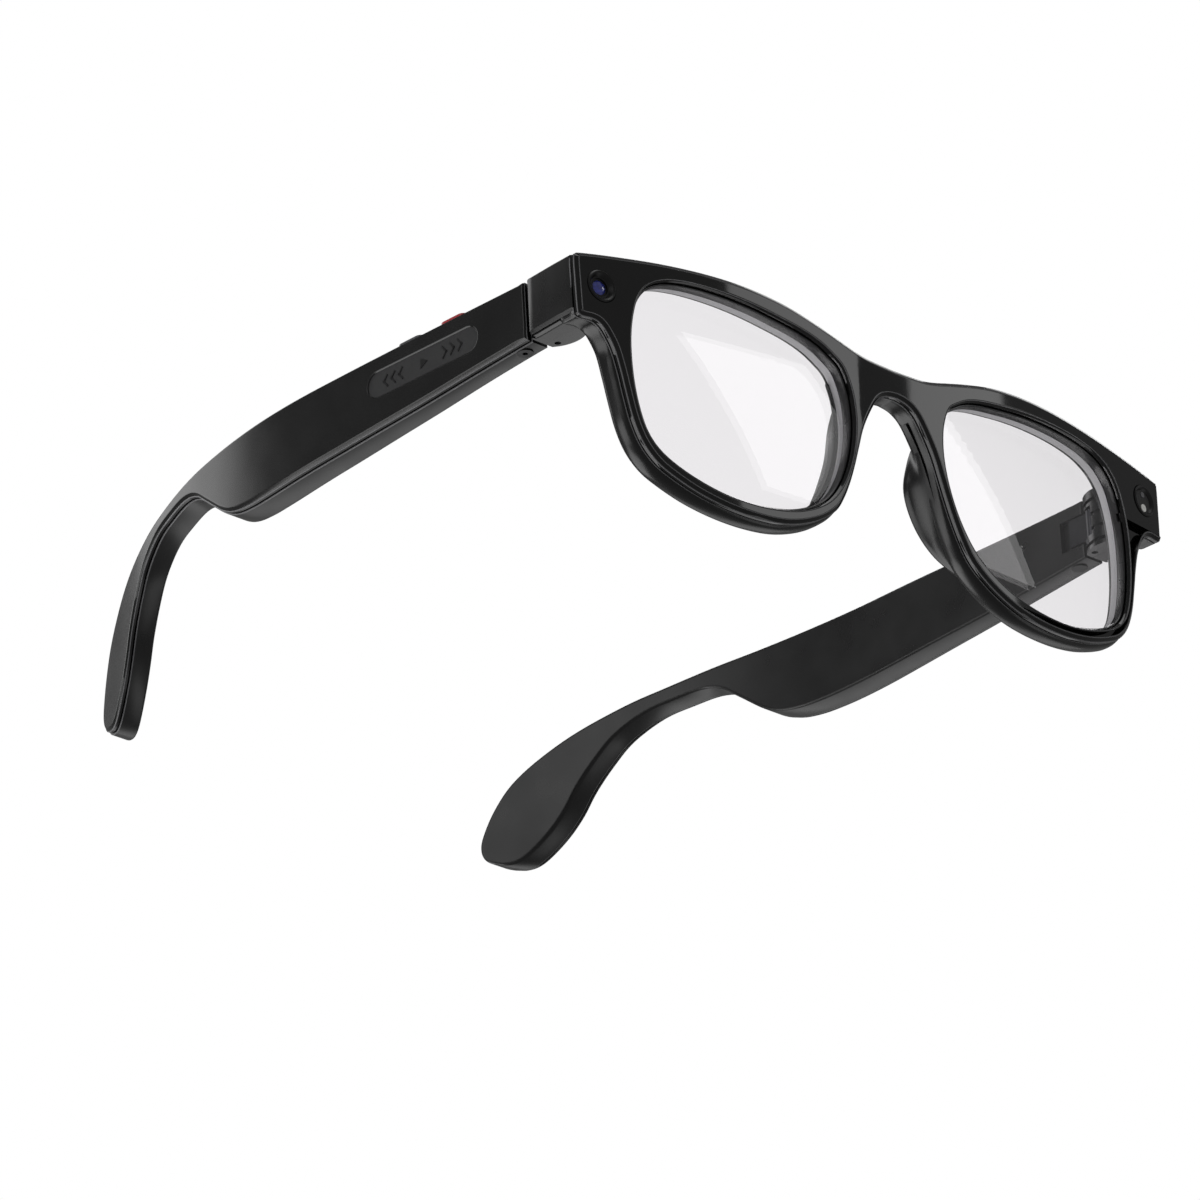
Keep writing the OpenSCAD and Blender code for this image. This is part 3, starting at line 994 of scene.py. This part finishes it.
@dataclass
class FrontAssembly:
    """The front: cover, rims, corners, nose pads, lenses and their trim.

    Args:
        datum: Where the maker's frame lies.
        shape: The front's outlines.
        cover: Thickness of the front cover.
        seam: Width of the dark line behind it.
        rear: Depth of the back of the rims.
        swell: How far the rims swell past the cover.
        lens_front: Depth of the lens's front surface.
        lens_back: Depth of its back surface.
        lens_middle: Height at which the lens stands furthest forward.
        lens_curve: Radius of the lens over its height.
        corner_end: Where the corner blocks end.
        corner_top: Height of their top.
        corner_base: Height of their underside.
    """

    datum: Datum
    shape: FaceShape = field(default_factory=FaceShape)
    cover: float = 1.2
    seam: float = 0.3
    rear: float = 5.3
    swell: float = 0.6
    lens_front: float = 2.7
    lens_back: float = 4.6
    lens_middle: float = -13.5
    lens_curve: float = 190.0
    corner_end: float = 18.2
    corner_top: float = 5.4
    corner_base: float = -6.1

    def space(self, u: float, v: float, level: float) -> Vector:
        """Map flat front coordinates and a depth to the row's metres."""
        return self.datum.at(u, self.shape.sag(u, level), v)

    def swell_weights(self, loop: Sequence[Point]) -> list[float]:
        """Find where the rims swell, and where they sink into the corner blocks."""
        below = [smooth_step((-8 - v) / 7) * smooth_step((abs(u) - 9) / 6) for u, v in loop]
        corner = [
            smooth_step((abs(u) - 73.0) / 0.8) * smooth_step((v + 6.6) / 0.8) for u, v in loop
        ]
        return [b - 0.6 * c for b, c in zip(below, corner)]

    def build_cover(self) -> None:
        """Build the polished cover with its chamfered edges."""
        back = self.cover
        outline = Contour(
            self.shape.edge(),
            [
                Ring(0.95, 0), Ring(0.78, 0), Ring(0.7, 0.03), Ring(0.1, 0.52), Ring(0.02, 0.6),
                Ring(0, 0.75), Ring(0, back - 0.08), Ring(0.08, back), Ring(0.6, back),
            ],
        )  # fmt: skip
        windows = [
            Contour(
                self.shape.opening(side),
                [
                    Ring(-0.62, 0), Ring(-0.46, 0), Ring(-0.4, 0.03), Ring(-0.06, 0.36),
                    Ring(0, 0.44), Ring(0, back),
                ],
            )
            for side in Side
        ]  # fmt: skip
        for side in Side:
            hole = [Ring(-0.2, 0), Ring(-0.06, 0), Ring(0, 0.05), Ring(0, back)]
            windows.append(Contour(self.circle(side), hole))
        plate = CurvedPlate("cover_plate", outline, self.space, windows)
        dress(plate.build(), Finishes.COVER, "front", ["front_cover"])
        # The pale lines along the cover's edges are painted highlights.
        for name, contour, inset, level in (
            ("cover_crest_inner", outline, 0.74, 0.0),
            ("cover_crest_outer", outline, 0.09, 0.5),
            *(
                (f"cover_crest_{side.word}", window, -0.43, 0.0)
                for side, window in zip(Side, windows)
            ),
        ):
            line = painted_highlight_line(name, contour, self.space, inset, level)
            dress(line, Finishes.CREST, "front", ["front_cover"])

    def circle(self, side: Side, radius: float = 3.05, steps: int = 64) -> list[Point]:
        """Draw the round opening of one corner module, clockwise."""
        centre = side.value * self.module_x()
        return [
            (centre + radius * math.cos(turn), radius * math.sin(turn))
            for turn in (-2 * math.pi * k / steps for k in range(steps))
        ]

    def module_x(self) -> float:
        """Find how far the corner modules are from the middle."""
        return 0.5 * sum(self.datum.extent("led_bezel")[0])

    def build_rims(self) -> None:
        """Build the rear frame's rims, with the seam groove, the swell and the lens groove."""
        loop = self.shape.edge()
        start, end = self.cover + self.seam, self.rear
        s = -self.swell
        outline = Contour(
            loop,
            [
                Ring(0.9, self.cover - 0.1), Ring(0.5, self.cover - 0.1), Ring(0.5, start),
                Ring(0.12, start), Ring(0.03, start + 0.07), Ring(0, start + 0.2, 0.25 * s),
                Ring(0, start + 0.7, 0.7 * s), Ring(0, start + 1.3, 0.95 * s),
                Ring(0, start + 2.0, s), Ring(0, end - 1.1, 0.95 * s),
                Ring(0.08, end - 0.6, 0.8 * s), Ring(0.25, end - 0.22, 0.6 * s),
                Ring(0.5, end - 0.04, 0.4 * s), Ring(0.75, end, 0.3 * s),
                Ring(1.0, end, 0.3 * s),
            ],
            self.swell_weights(loop),
        )  # fmt: skip
        groove = 0.75
        windows = [
            Contour(
                self.shape.opening(side),
                [
                    Ring(-0.25, self.cover - 0.1), Ring(0, self.cover - 0.1),
                    Ring(0, self.lens_front - 0.05), Ring(-groove, self.lens_front - 0.05),
                    Ring(-groove, self.lens_back + 0.05), Ring(0, self.lens_back + 0.05),
                    Ring(-0.05, end - 0.3), Ring(-0.3, end), Ring(-0.45, end),
                ],
            )
            for side in Side
        ]  # fmt: skip
        plate = CurvedPlate("rear_rims", outline, self.space, windows)
        dress(plate.build(), Finishes.FRAME, "front", ["rear_frame"])
        # The pale line along the rim's front edge is a painted highlight.
        line = painted_highlight_line("rim_crest", Contour(loop, []), self.space, 0.08, start - 0.01)
        dress(line, Finishes.CREST, "front", ["rear_frame"])

    def corner_plan(self) -> list[Point]:
        """Draw a corner block seen from above, clockwise from its front outer point."""
        return [
            (63.6, 5.6), (64.4, 7.6), (66.0, 9.6), (69.62, 10.25), (69.62, self.corner_end),
            (73.0, self.corner_end), (73.4, self.corner_end - 0.08), (73.55, self.corner_end - 0.4),
            (73.75, 15.5), (74.08, 11.0), (74.24, 7.4), (74.24, 6.66), (74.1, 6.6), (69, 5.9),
        ]  # fmt: skip

    def build_corner(self, side: Side) -> None:
        """Build one corner block, with its rounded and grooved lower edge.

        Args:
            side: Which corner.
        """
        loop = evenly_cut(self.corner_plan(), 1.0)
        outward = [max(n.x, 0.0) ** 2 for n in outward_normals(loop)]
        top, base = self.corner_top, self.corner_base
        rings = [
            Ring(0.3, -top, 0.4), Ring(0.12, -top, 0.22), Ring(0.04, 0.08 - top, 0.12),
            Ring(0, 0.3 - top, 0), Ring(0, -base - 1.35, 0), Ring(0, -base - 1.25, 0.05),
            Ring(0, -base - 0.72, 0.42), Ring(0, -base - 0.68, 0.75), Ring(0, -base - 0.42, 0.8),
            Ring(0, -base - 0.4, 0.62), Ring(0, -base - 0.08, 0.98), Ring(0.05, -base, 1.1),
            Ring(0.25, -base, 1.2),
        ]  # fmt: skip

        def space(u: float, v: float, level: float) -> Vector:
            """Map the plan and a height, counted down, to the row's metres."""
            return self.datum.at(side.value * u, v, -level)

        plate = CurvedPlate(f"corner_block_{side.word}", Contour(loop, rings, outward), space)
        dress(plate.build(), Finishes.FRAME, "front", ["rear_frame"])

    def build_nose_pad(self, side: Side) -> None:
        """Build one nose pad: a fin that flares back from the rim beside the nose.

        Args:
            side: Which rim.
        """
        rim = open_curve(
            [(5.2, -4.4), (6.9, -6.9), (8.5, -9.8), (10.3, -14.4), (12.3, -20.0), (14.7, -25.4),
             (17.4, -29.2), (21.0, -31.9)], 8,
        )  # fmt: skip
        crest = open_curve(
            [(10.6, 5.1, -2.9), (10.3, 6.2, -5.2), (10.1, 8.1, -9.0), (10.1, 9.4, -14.2),
             (12.3, 9.6, -20.0), (15.5, 8.7, -25.0), (19.2, 6.7, -28.8), (23.6, 5.1, -31.0)], 8,
        )  # fmt: skip
        window = open_curve(
            [(12.9, -1.6), (11.9, -4.8), (11.6, -9.3), (12.1, -14.3), (14.0, -20.0), (17.0, -25.2),
             (20.6, -28.6), (24.7, -30.8)], 8,
        )  # fmt: skip
        sections = []
        for (rx, rz), (cx, cy, cz), (wx, wz) in zip(rim, crest, window):
            rim_y, window_y = self.shape.sag(rx), self.shape.sag(wx)
            across = Vector((wx - rx, 0, wz - rz)).normalized()
            nose = Vector((rx, 3.2 + rim_y, rz)) - across * 0.28
            wall = Vector((rx, 4.3 + rim_y, rz)) - across * 0.2
            tip = Vector((cx, cy - 0.55, cz))
            rise = smooth_step((cy - 4.8) / 2.2)
            half = 0.35 + 0.3 * rise
            turn = [
                tip + across * (-half * math.cos(a)) + Vector((0, 0.55 * math.sin(a), 0))
                for a in (math.pi * k / 6 for k in range(7))
            ]
            flare = [
                wall.lerp(turn[0], t) - across * (-0.35 * rise * math.sin(math.pi * t))
                for t in (0.2, 0.4, 0.6, 0.8)
            ]
            foot = Vector((wx, 5.25 + window_y, wz)) + across * 0.1
            inside = Vector((wx, 4.5 + window_y, wz)) + across * 0.8
            back = [turn[6].lerp(foot, t) for t in (0.35, 0.7)]
            outline = [nose, wall, *flare, *turn, *back, foot, inside]
            sections.append([self.datum.at(side.value * p.x, p.y, p.z) for p in outline])
        pad = loft(f"nose_pad_{side.word}", sections)
        dress(pad, Finishes.FRAME, "front", ["rear_frame"])

    def lens_space(self, u: float, v: float, level: float) -> Vector:
        """Map lens coordinates to the row's metres, with the lens's own curve over its height."""
        dome = ((v - self.lens_middle) ** 2) / (2 * self.lens_curve)
        return self.space(u, v, level + dome - 0.55)

    def build_lens(self, side: Side) -> None:
        """Build one lens, its ground edge and the trim ring in front of it.

        Args:
            side: Which opening.
        """
        loop = self.shape.opening(side)
        rings = [
            Ring(0.2, self.lens_front), Ring(0, self.lens_front), Ring(-0.5, self.lens_front + 0.2),
            Ring(-0.5, self.lens_back - 0.6), Ring(0, self.lens_back - 0.4),
            Ring(0.2, self.lens_back - 0.4),
        ]  # fmt: skip
        lens = CurvedPlate(
            f"clear_lens_{side.word}", Contour(loop, rings), self.lens_space, domed=True
        )
        dress(lens.build(), Finishes.LENS, "front", [f"lens_{side.word}"])
        ground, liner = (
            Contour(loop, [Ring(near, self.lens_front + 0.3), Ring(far, self.lens_back - 0.05)])
            for near, far in ((0.02, 0.02), (0.1, 0.06))
        )
        # The rim's pale colour is partly frosting and partly a painted reflection of the white
        # background.
        edge = CurvedPlate(f"lens_edge_{side.word}", ground, self.space, [liner])
        dress(edge.build(), Finishes.EDGE, "front", [f"lens_{side.word}"])
        front, back = 1.0, self.lens_front - 0.06
        steps = (front, front + 0.12)
        outer, bore = (
            Contour(loop, [Ring(*ring) for ring in zip(insets, (*steps, shoulder, back))])
            for insets, shoulder in (
                ((0.16, 0.05, 0.02, 0.05), back - 0.05),
                ((0.3, 0.42, 0.45, 0.4), back - 0.1),
            )
        )
        ring = CurvedPlate(f"lens_trim_{side.word}", outer, self.space, [bore]).build()
        notches = [
            cuboid("nasal_notch", self.datum, side, (11, 15), (-1, 1.7), (-2.0, 0.0)),
            cuboid("temporal_notch", self.datum, side, (60.5, 64.5), (0, 5.1), (-6.1, -4.5)),
        ]
        carve(ring, notches)
        dress(ring, Finishes.RING, "front", [f"lens_ring_{side.word}"])

    def build(self) -> None:
        """Build the whole front."""
        self.build_cover()
        self.build_rims()
        for side in Side:
            self.build_corner(side)
            self.build_nose_pad(side)
            self.build_lens(side)


# ---------------------------------------------------------------- the temples


@dataclass
class Temple:
    """One temple: outer cover, housing, touch strip and the small parts on it.

    Args:
        side: Which temple.
        datum: Where the maker's frame lies.
        shape: Its outline and plan.
        skin: Thickness of the outer cover.
        pad_sink: How far the touch strip's face lies inside the cover's.
        outlet_slope: Slope of the wall that the speaker's outlet is in, in degrees.
    """

    side: Side
    datum: Datum
    shape: TempleShape = field(default_factory=TempleShape)
    skin: float = 1.1
    pad_sink: float = 0.2
    outlet_slope: float = 37.5

    @property
    def body(self) -> str:
        """The body that the temple's pieces ride on."""
        return f"temple_{self.side.word}"

    def space(self, u: float, v: float, level: float) -> Vector:
        """Map depth, height and a ring level to the row's metres."""
        if level < INNER / 2:
            x = self.shape.outer_x(u) - level
        else:
            x = self.shape.inner_x(u) + (INNER - level)
        return self.datum.at(self.side.value * x, u, v)

    def build_cover(self) -> None:
        """Build the outer cover with a wide lower chamfer and a thin upper one."""
        loop = self.shape.profile()
        below = [max(-n.y, 0.0) for n in outward_normals(loop)]
        outline = Contour(
            loop,
            [
                Ring(0.75, 0, 0.5), Ring(0.58, 0, 0.45), Ring(0.5, 0.03, 0.45),
                Ring(0.3, 0.45, 0.1), Ring(0.25, 0.55, 0.05), Ring(0.25, self.skin - 0.05),
                Ring(0.4, self.skin - 0.02),
            ],
            below,
        )  # fmt: skip
        windows = []
        if self.side is Side.RIGHT:
            lip = [Ring(-0.4, 0), Ring(-0.26, 0), Ring(-0.2, 0.03), Ring(-0.02, 0.2), Ring(0, 0.26)]
            windows.append(Contour(self.pad_loop(), [*lip, Ring(0, self.skin - 0.02)]))
        plate = CurvedPlate(f"temple_skin_{self.side.word}", outline, self.space, windows)
        nodes = [f"temple_cover_{self.side.word}"]
        dress(plate.build(), Finishes.TEMPLE, self.body, nodes)
        # The pale line along the cover's edge is a painted highlight.
        line = painted_highlight_line(f"skin_crest_{self.side.word}", Contour(loop, []), self.space, 0.34, 0.4)
        dress(line, Finishes.CREST, self.body, nodes)

    def pad_loop(self) -> list[Point]:
        """Draw the touch strip's rounded slot, clockwise."""
        _, (y0, y1), (z0, z1) = self.datum.extent("touch_pad")
        r = (z1 - z0) / 2
        turns = [math.pi * k / 16 for k in range(17)]
        rear = [(y1 - r + r * math.sin(t), (z0 + r) + r * math.cos(t)) for t in turns]
        front = [(y0 + r - r * math.sin(t), (z0 + r) - r * math.cos(t)) for t in turns]
        return rear + front

    def build_housing(self) -> None:
        """Build the inner housing, with the seam groove beside the cover."""
        loop = self.shape.profile()
        seam = self.skin
        outline = Contour(
            loop,
            [
                Ring(1.2, seam - 0.02), Ring(0.8, seam - 0.02), Ring(0.8, seam + 0.3),
                Ring(0.2, seam + 0.3), Ring(0.03, seam + 0.45), Ring(0, seam + 0.6),
                Ring(0, INNER - 0.6), Ring(0.06, INNER - 0.3), Ring(0.22, INNER - 0.08),
                Ring(0.45, INNER), Ring(0.7, INNER),
            ],
        )  # fmt: skip
        plate = CurvedPlate(f"temple_body_{self.side.word}", outline, self.space).build()
        housing = carve(plate, self.cutters())
        nodes = [f"temple_housing_{self.side.word}"]
        dress(housing, Finishes.HOUSING, self.body, nodes)
        # The pale line beside the seam is a painted highlight.
        name = f"housing_crest_{self.side.word}"
        line = painted_highlight_line(name, Contour(loop, []), self.space, 0.1, seam + 0.32, 0.2)
        dress(line, Finishes.CREST, self.body, nodes)

    def cutters(self) -> list[bpy.types.Object]:
        """Build the shapes of the hinge slot, the screw's bore and the speaker's pocket."""
        leaf_x, _, (leaf_low, leaf_high) = self.datum.extent(f"hinge_leaf_{self.side.word}")
        width, height = (60, max(map(abs, leaf_x))), (leaf_low - 0.3, leaf_high + 0.4)
        slot = cuboid("slot", self.datum, self.side, width, (10, 24.5), height)
        screw_x, screw_y, _ = self.datum.extent(f"screw_{self.side.word}")
        x, y = abs(sum(screw_x)) / 2, sum(screw_y) / 2
        radius = (screw_y[1] - screw_y[0]) / 2 + 0.02
        mouth, floor, core = -8.0, -4.7, 0.001

        def bore_space(u: float, v: float, level: float) -> Vector:
            """Map across the bore and a height to the row's metres."""
            return self.datum.at(self.side.value * (x + u), y + v, level)

        profile = [(core, mouth), (radius, mouth), (radius, floor), (core, floor)]
        return [slot, lathe("bore", profile, bore_space, 40), self.outlet_cutter()]

    def outlet_cutter(self) -> bpy.types.Object:
        """Build the pocket round the speaker's outlet plate."""
        xs, ys, zs = self.datum.extent(f"speaker_grille_{self.side.word}")
        x0, x1 = sorted(map(abs, xs))
        width = (x0 - 0.03, x1 + 0.03)
        pocket = cuboid("pocket", self.datum, self.side, width, (-2.37, 2.37), (-1.6, 0.2))
        turn = Matrix.Rotation(math.radians(self.outlet_slope), 4, "X")
        pocket.data.transform(Matrix.Translation(-self.datum.at(0, 0, 0)))
        middle = self.datum.at(0, 0.5 * sum(ys), 0.5 * sum(zs))
        pocket.data.transform(Matrix.Translation(middle) @ turn)
        return pocket

    def build_marks(self) -> None:
        """Build the raised arrows and the triangle on the touch strip."""
        _, ys, zs = self.datum.extent("touch_pad")
        u, v = 0.5 * sum(ys), 0.5 * sum(zs)
        middle = self.datum.at(self.side.value * (self.shape.outer_x(u) - self.pad_sink), u, v)
        splay = Matrix.Rotation(math.atan(self.shape.splay), 4, "Z")
        arrows, row = chevron_tree(), {"Count": 3, "Pitch": 1.9 * MM}
        triangle = {"Radius": 1.15 * MM, "Height": MARK_HEIGHT * MM}
        for name, tree, values in (
            ("forward_arrows", arrows, {**row, "Start": -9.6 * MM, "Lean": -1.0}),
            ("rearward_arrows", arrows, {**row, "Start": 6.0 * MM, "Lean": 1.0}),
            ("play_mark", triangle_tree(), triangle),
        ):
            mark = grown(name, tree, values)
            mark.data.transform(Matrix.Translation(middle) @ splay)
            dress(mark, Finishes.MARK, self.body)

    def build(self) -> None:
        """Build the temple."""
        self.build_cover()
        self.build_housing()
        if self.side is Side.RIGHT:
            self.build_marks()


# ---------------------------------------------------------------- carried-over parts


CARRIED: dict[Finish, tuple[str, ...]] = {
    Finishes.FLEX: ("front_flex",),
    Finishes.BEZEL: ("camera_bezel", "led_bezel"),
    # The camera glass's brighter blue patches are painted highlights.
    Finishes.EYE: ("camera_glass",),
    Finishes.BARREL: ("camera_barrel",),
    Finishes.BOARD: ("camera_board", "light_board", "switch_board", "main_board", "radio_board"),
    Finishes.LIGHT: ("status_light",),
    Finishes.SENSOR: ("light_sensor",),
    Finishes.BLOCK: ("hinge_block_right", "hinge_block_left"),
    Finishes.PIN: ("hinge_pin_right", "hinge_pin_left"),
    Finishes.LEAF: ("hinge_leaf_right", "hinge_leaf_left"),
    Finishes.PAD: ("touch_pad",),
    Finishes.SCREW: ("screw_right",),
    Finishes.PLUG: ("screw_left",),
    Finishes.RED: ("button_red",),
    Finishes.GREY: ("button_grey",),
    Finishes.FOIL: ("battery_right", "battery_left"),
    Finishes.BOX: ("speaker_right", "speaker_left"),
    Finishes.MESH: ("speaker_grille_right", "speaker_grille_left"),
}


def dress_carried(frame: dict) -> None:
    """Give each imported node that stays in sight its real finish.
    """
    for finish, nodes in CARRIED.items():
        for node in nodes:
            materials = frame["nodes"][node].data.materials
            materials.clear()
            materials.append(finish.material())
            LOG.info("%s: %s", node, finish.name)


# ---------------------------------------------------------------- the studio


def toward(azimuth: float, elevation: float) -> Vector:
    """Find the direction of a place round the object, from its angles in degrees."""
    a, e = math.radians(azimuth), math.radians(elevation)
    return Vector((math.sin(a) * math.cos(e), -math.cos(a) * math.cos(e), math.sin(e)))


@dataclass
class Studio:
    """Camera, lights, floor and background.

    Args:
        azimuth: The camera's direction round the object, in degrees.
        elevation: Its height angle.
        roll: How far it is turned about its own axis.
        distance: Its distance from the target, in metres.
        target: What it looks at.
        lens: Its focal length on a 36 mm sensor.
    """

    azimuth: float = -45.69
    elevation: float = -25.03
    roll: float = -3.26
    distance: float = 1.7
    target: Vector = field(default_factory=lambda: Vector((-0.0394, -0.0398, -0.0024)))
    lens: float = 291.0

    def place_camera(self) -> None:
        """Place the camera at the product view."""
        back = toward(self.azimuth, self.elevation)
        a, r = math.radians(self.azimuth), math.radians(self.roll)
        level = Vector((math.cos(a), math.sin(a), 0))
        upright = back.cross(level)
        right = level * math.cos(r) + upright * math.sin(r)
        up = back.cross(right)
        data = bpy.data.cameras.new("product_camera")
        data.lens = self.lens
        data.sensor_width = 36.0
        data.clip_start = 0.05
        data.clip_end = 50.0
        camera = bpy.data.objects.new("product_camera", data)
        turn = Matrix((right, up, back)).transposed().to_4x4()
        camera.matrix_world = Matrix.Translation(self.target + back * self.distance) @ turn
        bpy.context.scene.collection.objects.link(camera)
        bpy.context.scene.camera = camera

    def add_panel(
        self,
        name: str,
        azimuth: float,
        elevation: float,
        reach: float,
        size: Point,
        radiance: float,
    ) -> None:
        """Add a soft rectangular light that faces the object.

        Args:
            name: Its name.
            azimuth: Its direction round the object, in degrees, 0 in front.
            elevation: Its height angle.
            reach: Its distance, in metres.
            size: Its width and height, in metres.
            radiance: How bright its face is, where 1 is the white background.
        """
        away = toward(azimuth, elevation)
        data = bpy.data.lights.new(name, "AREA")
        data.shape = "RECTANGLE"
        data.size, data.size_y = size
        data.energy = radiance * math.pi * size[0] * size[1]
        light = bpy.data.objects.new(name, data)
        centre = Vector((0, 0, 0.02))
        turn = away.to_track_quat("Z", "Y").to_matrix().to_4x4()
        light.matrix_world = Matrix.Translation(centre + away * reach) @ turn
        bpy.context.scene.collection.objects.link(light)

    def build_background(self) -> None:
        """Show white behind the object, and a dim grey room in its reflections."""
        world = bpy.data.worlds.new("studio")
        world.use_nodes = True
        tree = world.node_tree
        tree.nodes.clear()
        seen = add_node(tree, "ShaderNodeLightPath").outputs["Is Camera Ray"]
        room, white = (
            add_node(tree, "ShaderNodeBackground", {"in:Color": (1, 1, 1, 1), "in:Strength": power})
            for power in (0.2, 1.0)
        )
        both = add_node(tree, "ShaderNodeMixShader", links={0: seen, 1: room, 2: white})
        add_node(tree, "ShaderNodeOutputWorld", links={"Surface": both})
        bpy.context.scene.world = world

    def build_floor(self) -> None:
        """Lay a pale floor that is clear from below, where the product view looks up through it."""
        bm = bmesh.new()
        bmesh.ops.create_grid(bm, x_segments=1, y_segments=1, size=3.0)
        for vert in bm.verts:
            vert.co.z = -0.0005
        floor = new_object("floor", bm)
        material = start_material("pale_floor_paper")
        tree = material.node_tree
        place = add_node(tree, "ShaderNodeTexCoord").outputs["Object"]
        fine = {"in:Scale": 400.0, "in:Detail": 2.0}
        fibre = add_node(tree, "ShaderNodeTexNoise", fine, {"Vector": place})
        colours = {"in:6": linear("#F1F1F0"), "in:7": linear("#ECECEA")}
        tint = add_node(tree, "ShaderNodeMix", {"data_type": "RGBA", **colours}, {0: fibre})
        matt = {"in:Roughness": 0.8}
        paper = add_node(tree, "ShaderNodeBsdfPrincipled", matt, {"Base Color": tint.outputs[2]})
        clear = add_node(tree, "ShaderNodeBsdfTransparent")
        below = add_node(tree, "ShaderNodeNewGeometry").outputs["Backfacing"]
        both = add_node(tree, "ShaderNodeMixShader", links={0: below, 1: paper, 2: clear})
        add_node(tree, "ShaderNodeOutputMaterial", links={"Surface": both})
        floor.data.materials.append(material)
        floor.visible_shadow = False
        floor.visible_glossy = False

    def build(self) -> None:
        """Build the studio."""
        bpy.context.scene.view_settings.view_transform = "Standard"
        self.place_camera()
        self.build_background()
        self.build_floor()
        for panel in PANELS:
            self.add_panel(*panel)


# name, azimuth, elevation, distance, width and height, brightness
PANELS = (
    ("brow_strip", 38.9, 25.0, 1.6, (0.201, 0.36), 1.6),
    ("side_strip", 49.4, 25.0, 1.6, (0.162, 0.36), 1.6),
    ("rear_wall", -165.0, 26.0, 1.6, (0.7, 1.0), 1.7),
    ("right_wall", -92.0, 22.0, 1.6, (0.9, 1.0), 1.3),
    ("under_rear", -152.0, -40.0, 1.5, (1.3, 0.85), 2.6),
    ("side_low", -116.0, -12.0, 1.6, (1.0, 0.6), 2.2),
    ("under_left", 134.0, -28.0, 1.6, (1.2, 0.7), 0.8),
    ("under_front", 57.0, -40.0, 1.5, (0.7, 0.4), 0.9),
    ("top_rear", 123.0, 40.0, 1.5, (0.6, 0.5), 3.0),
    ("overhead", 20.0, 80.0, 1.5, (0.8, 0.8), 1.5),
)


# ---------------------------------------------------------------- assembly


def main() -> None:
    """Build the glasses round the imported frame."""
    logging.basicConfig(level=logging.INFO, format="%(name)s: %(message)s")
    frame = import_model()
    datum = Datum.from_frame()
    Studio().build()
    FrontAssembly(datum).build()
    for side in Side:
        Temple(side, datum).build()
    dress_carried(frame)


if __name__ == "__main__":
    main()
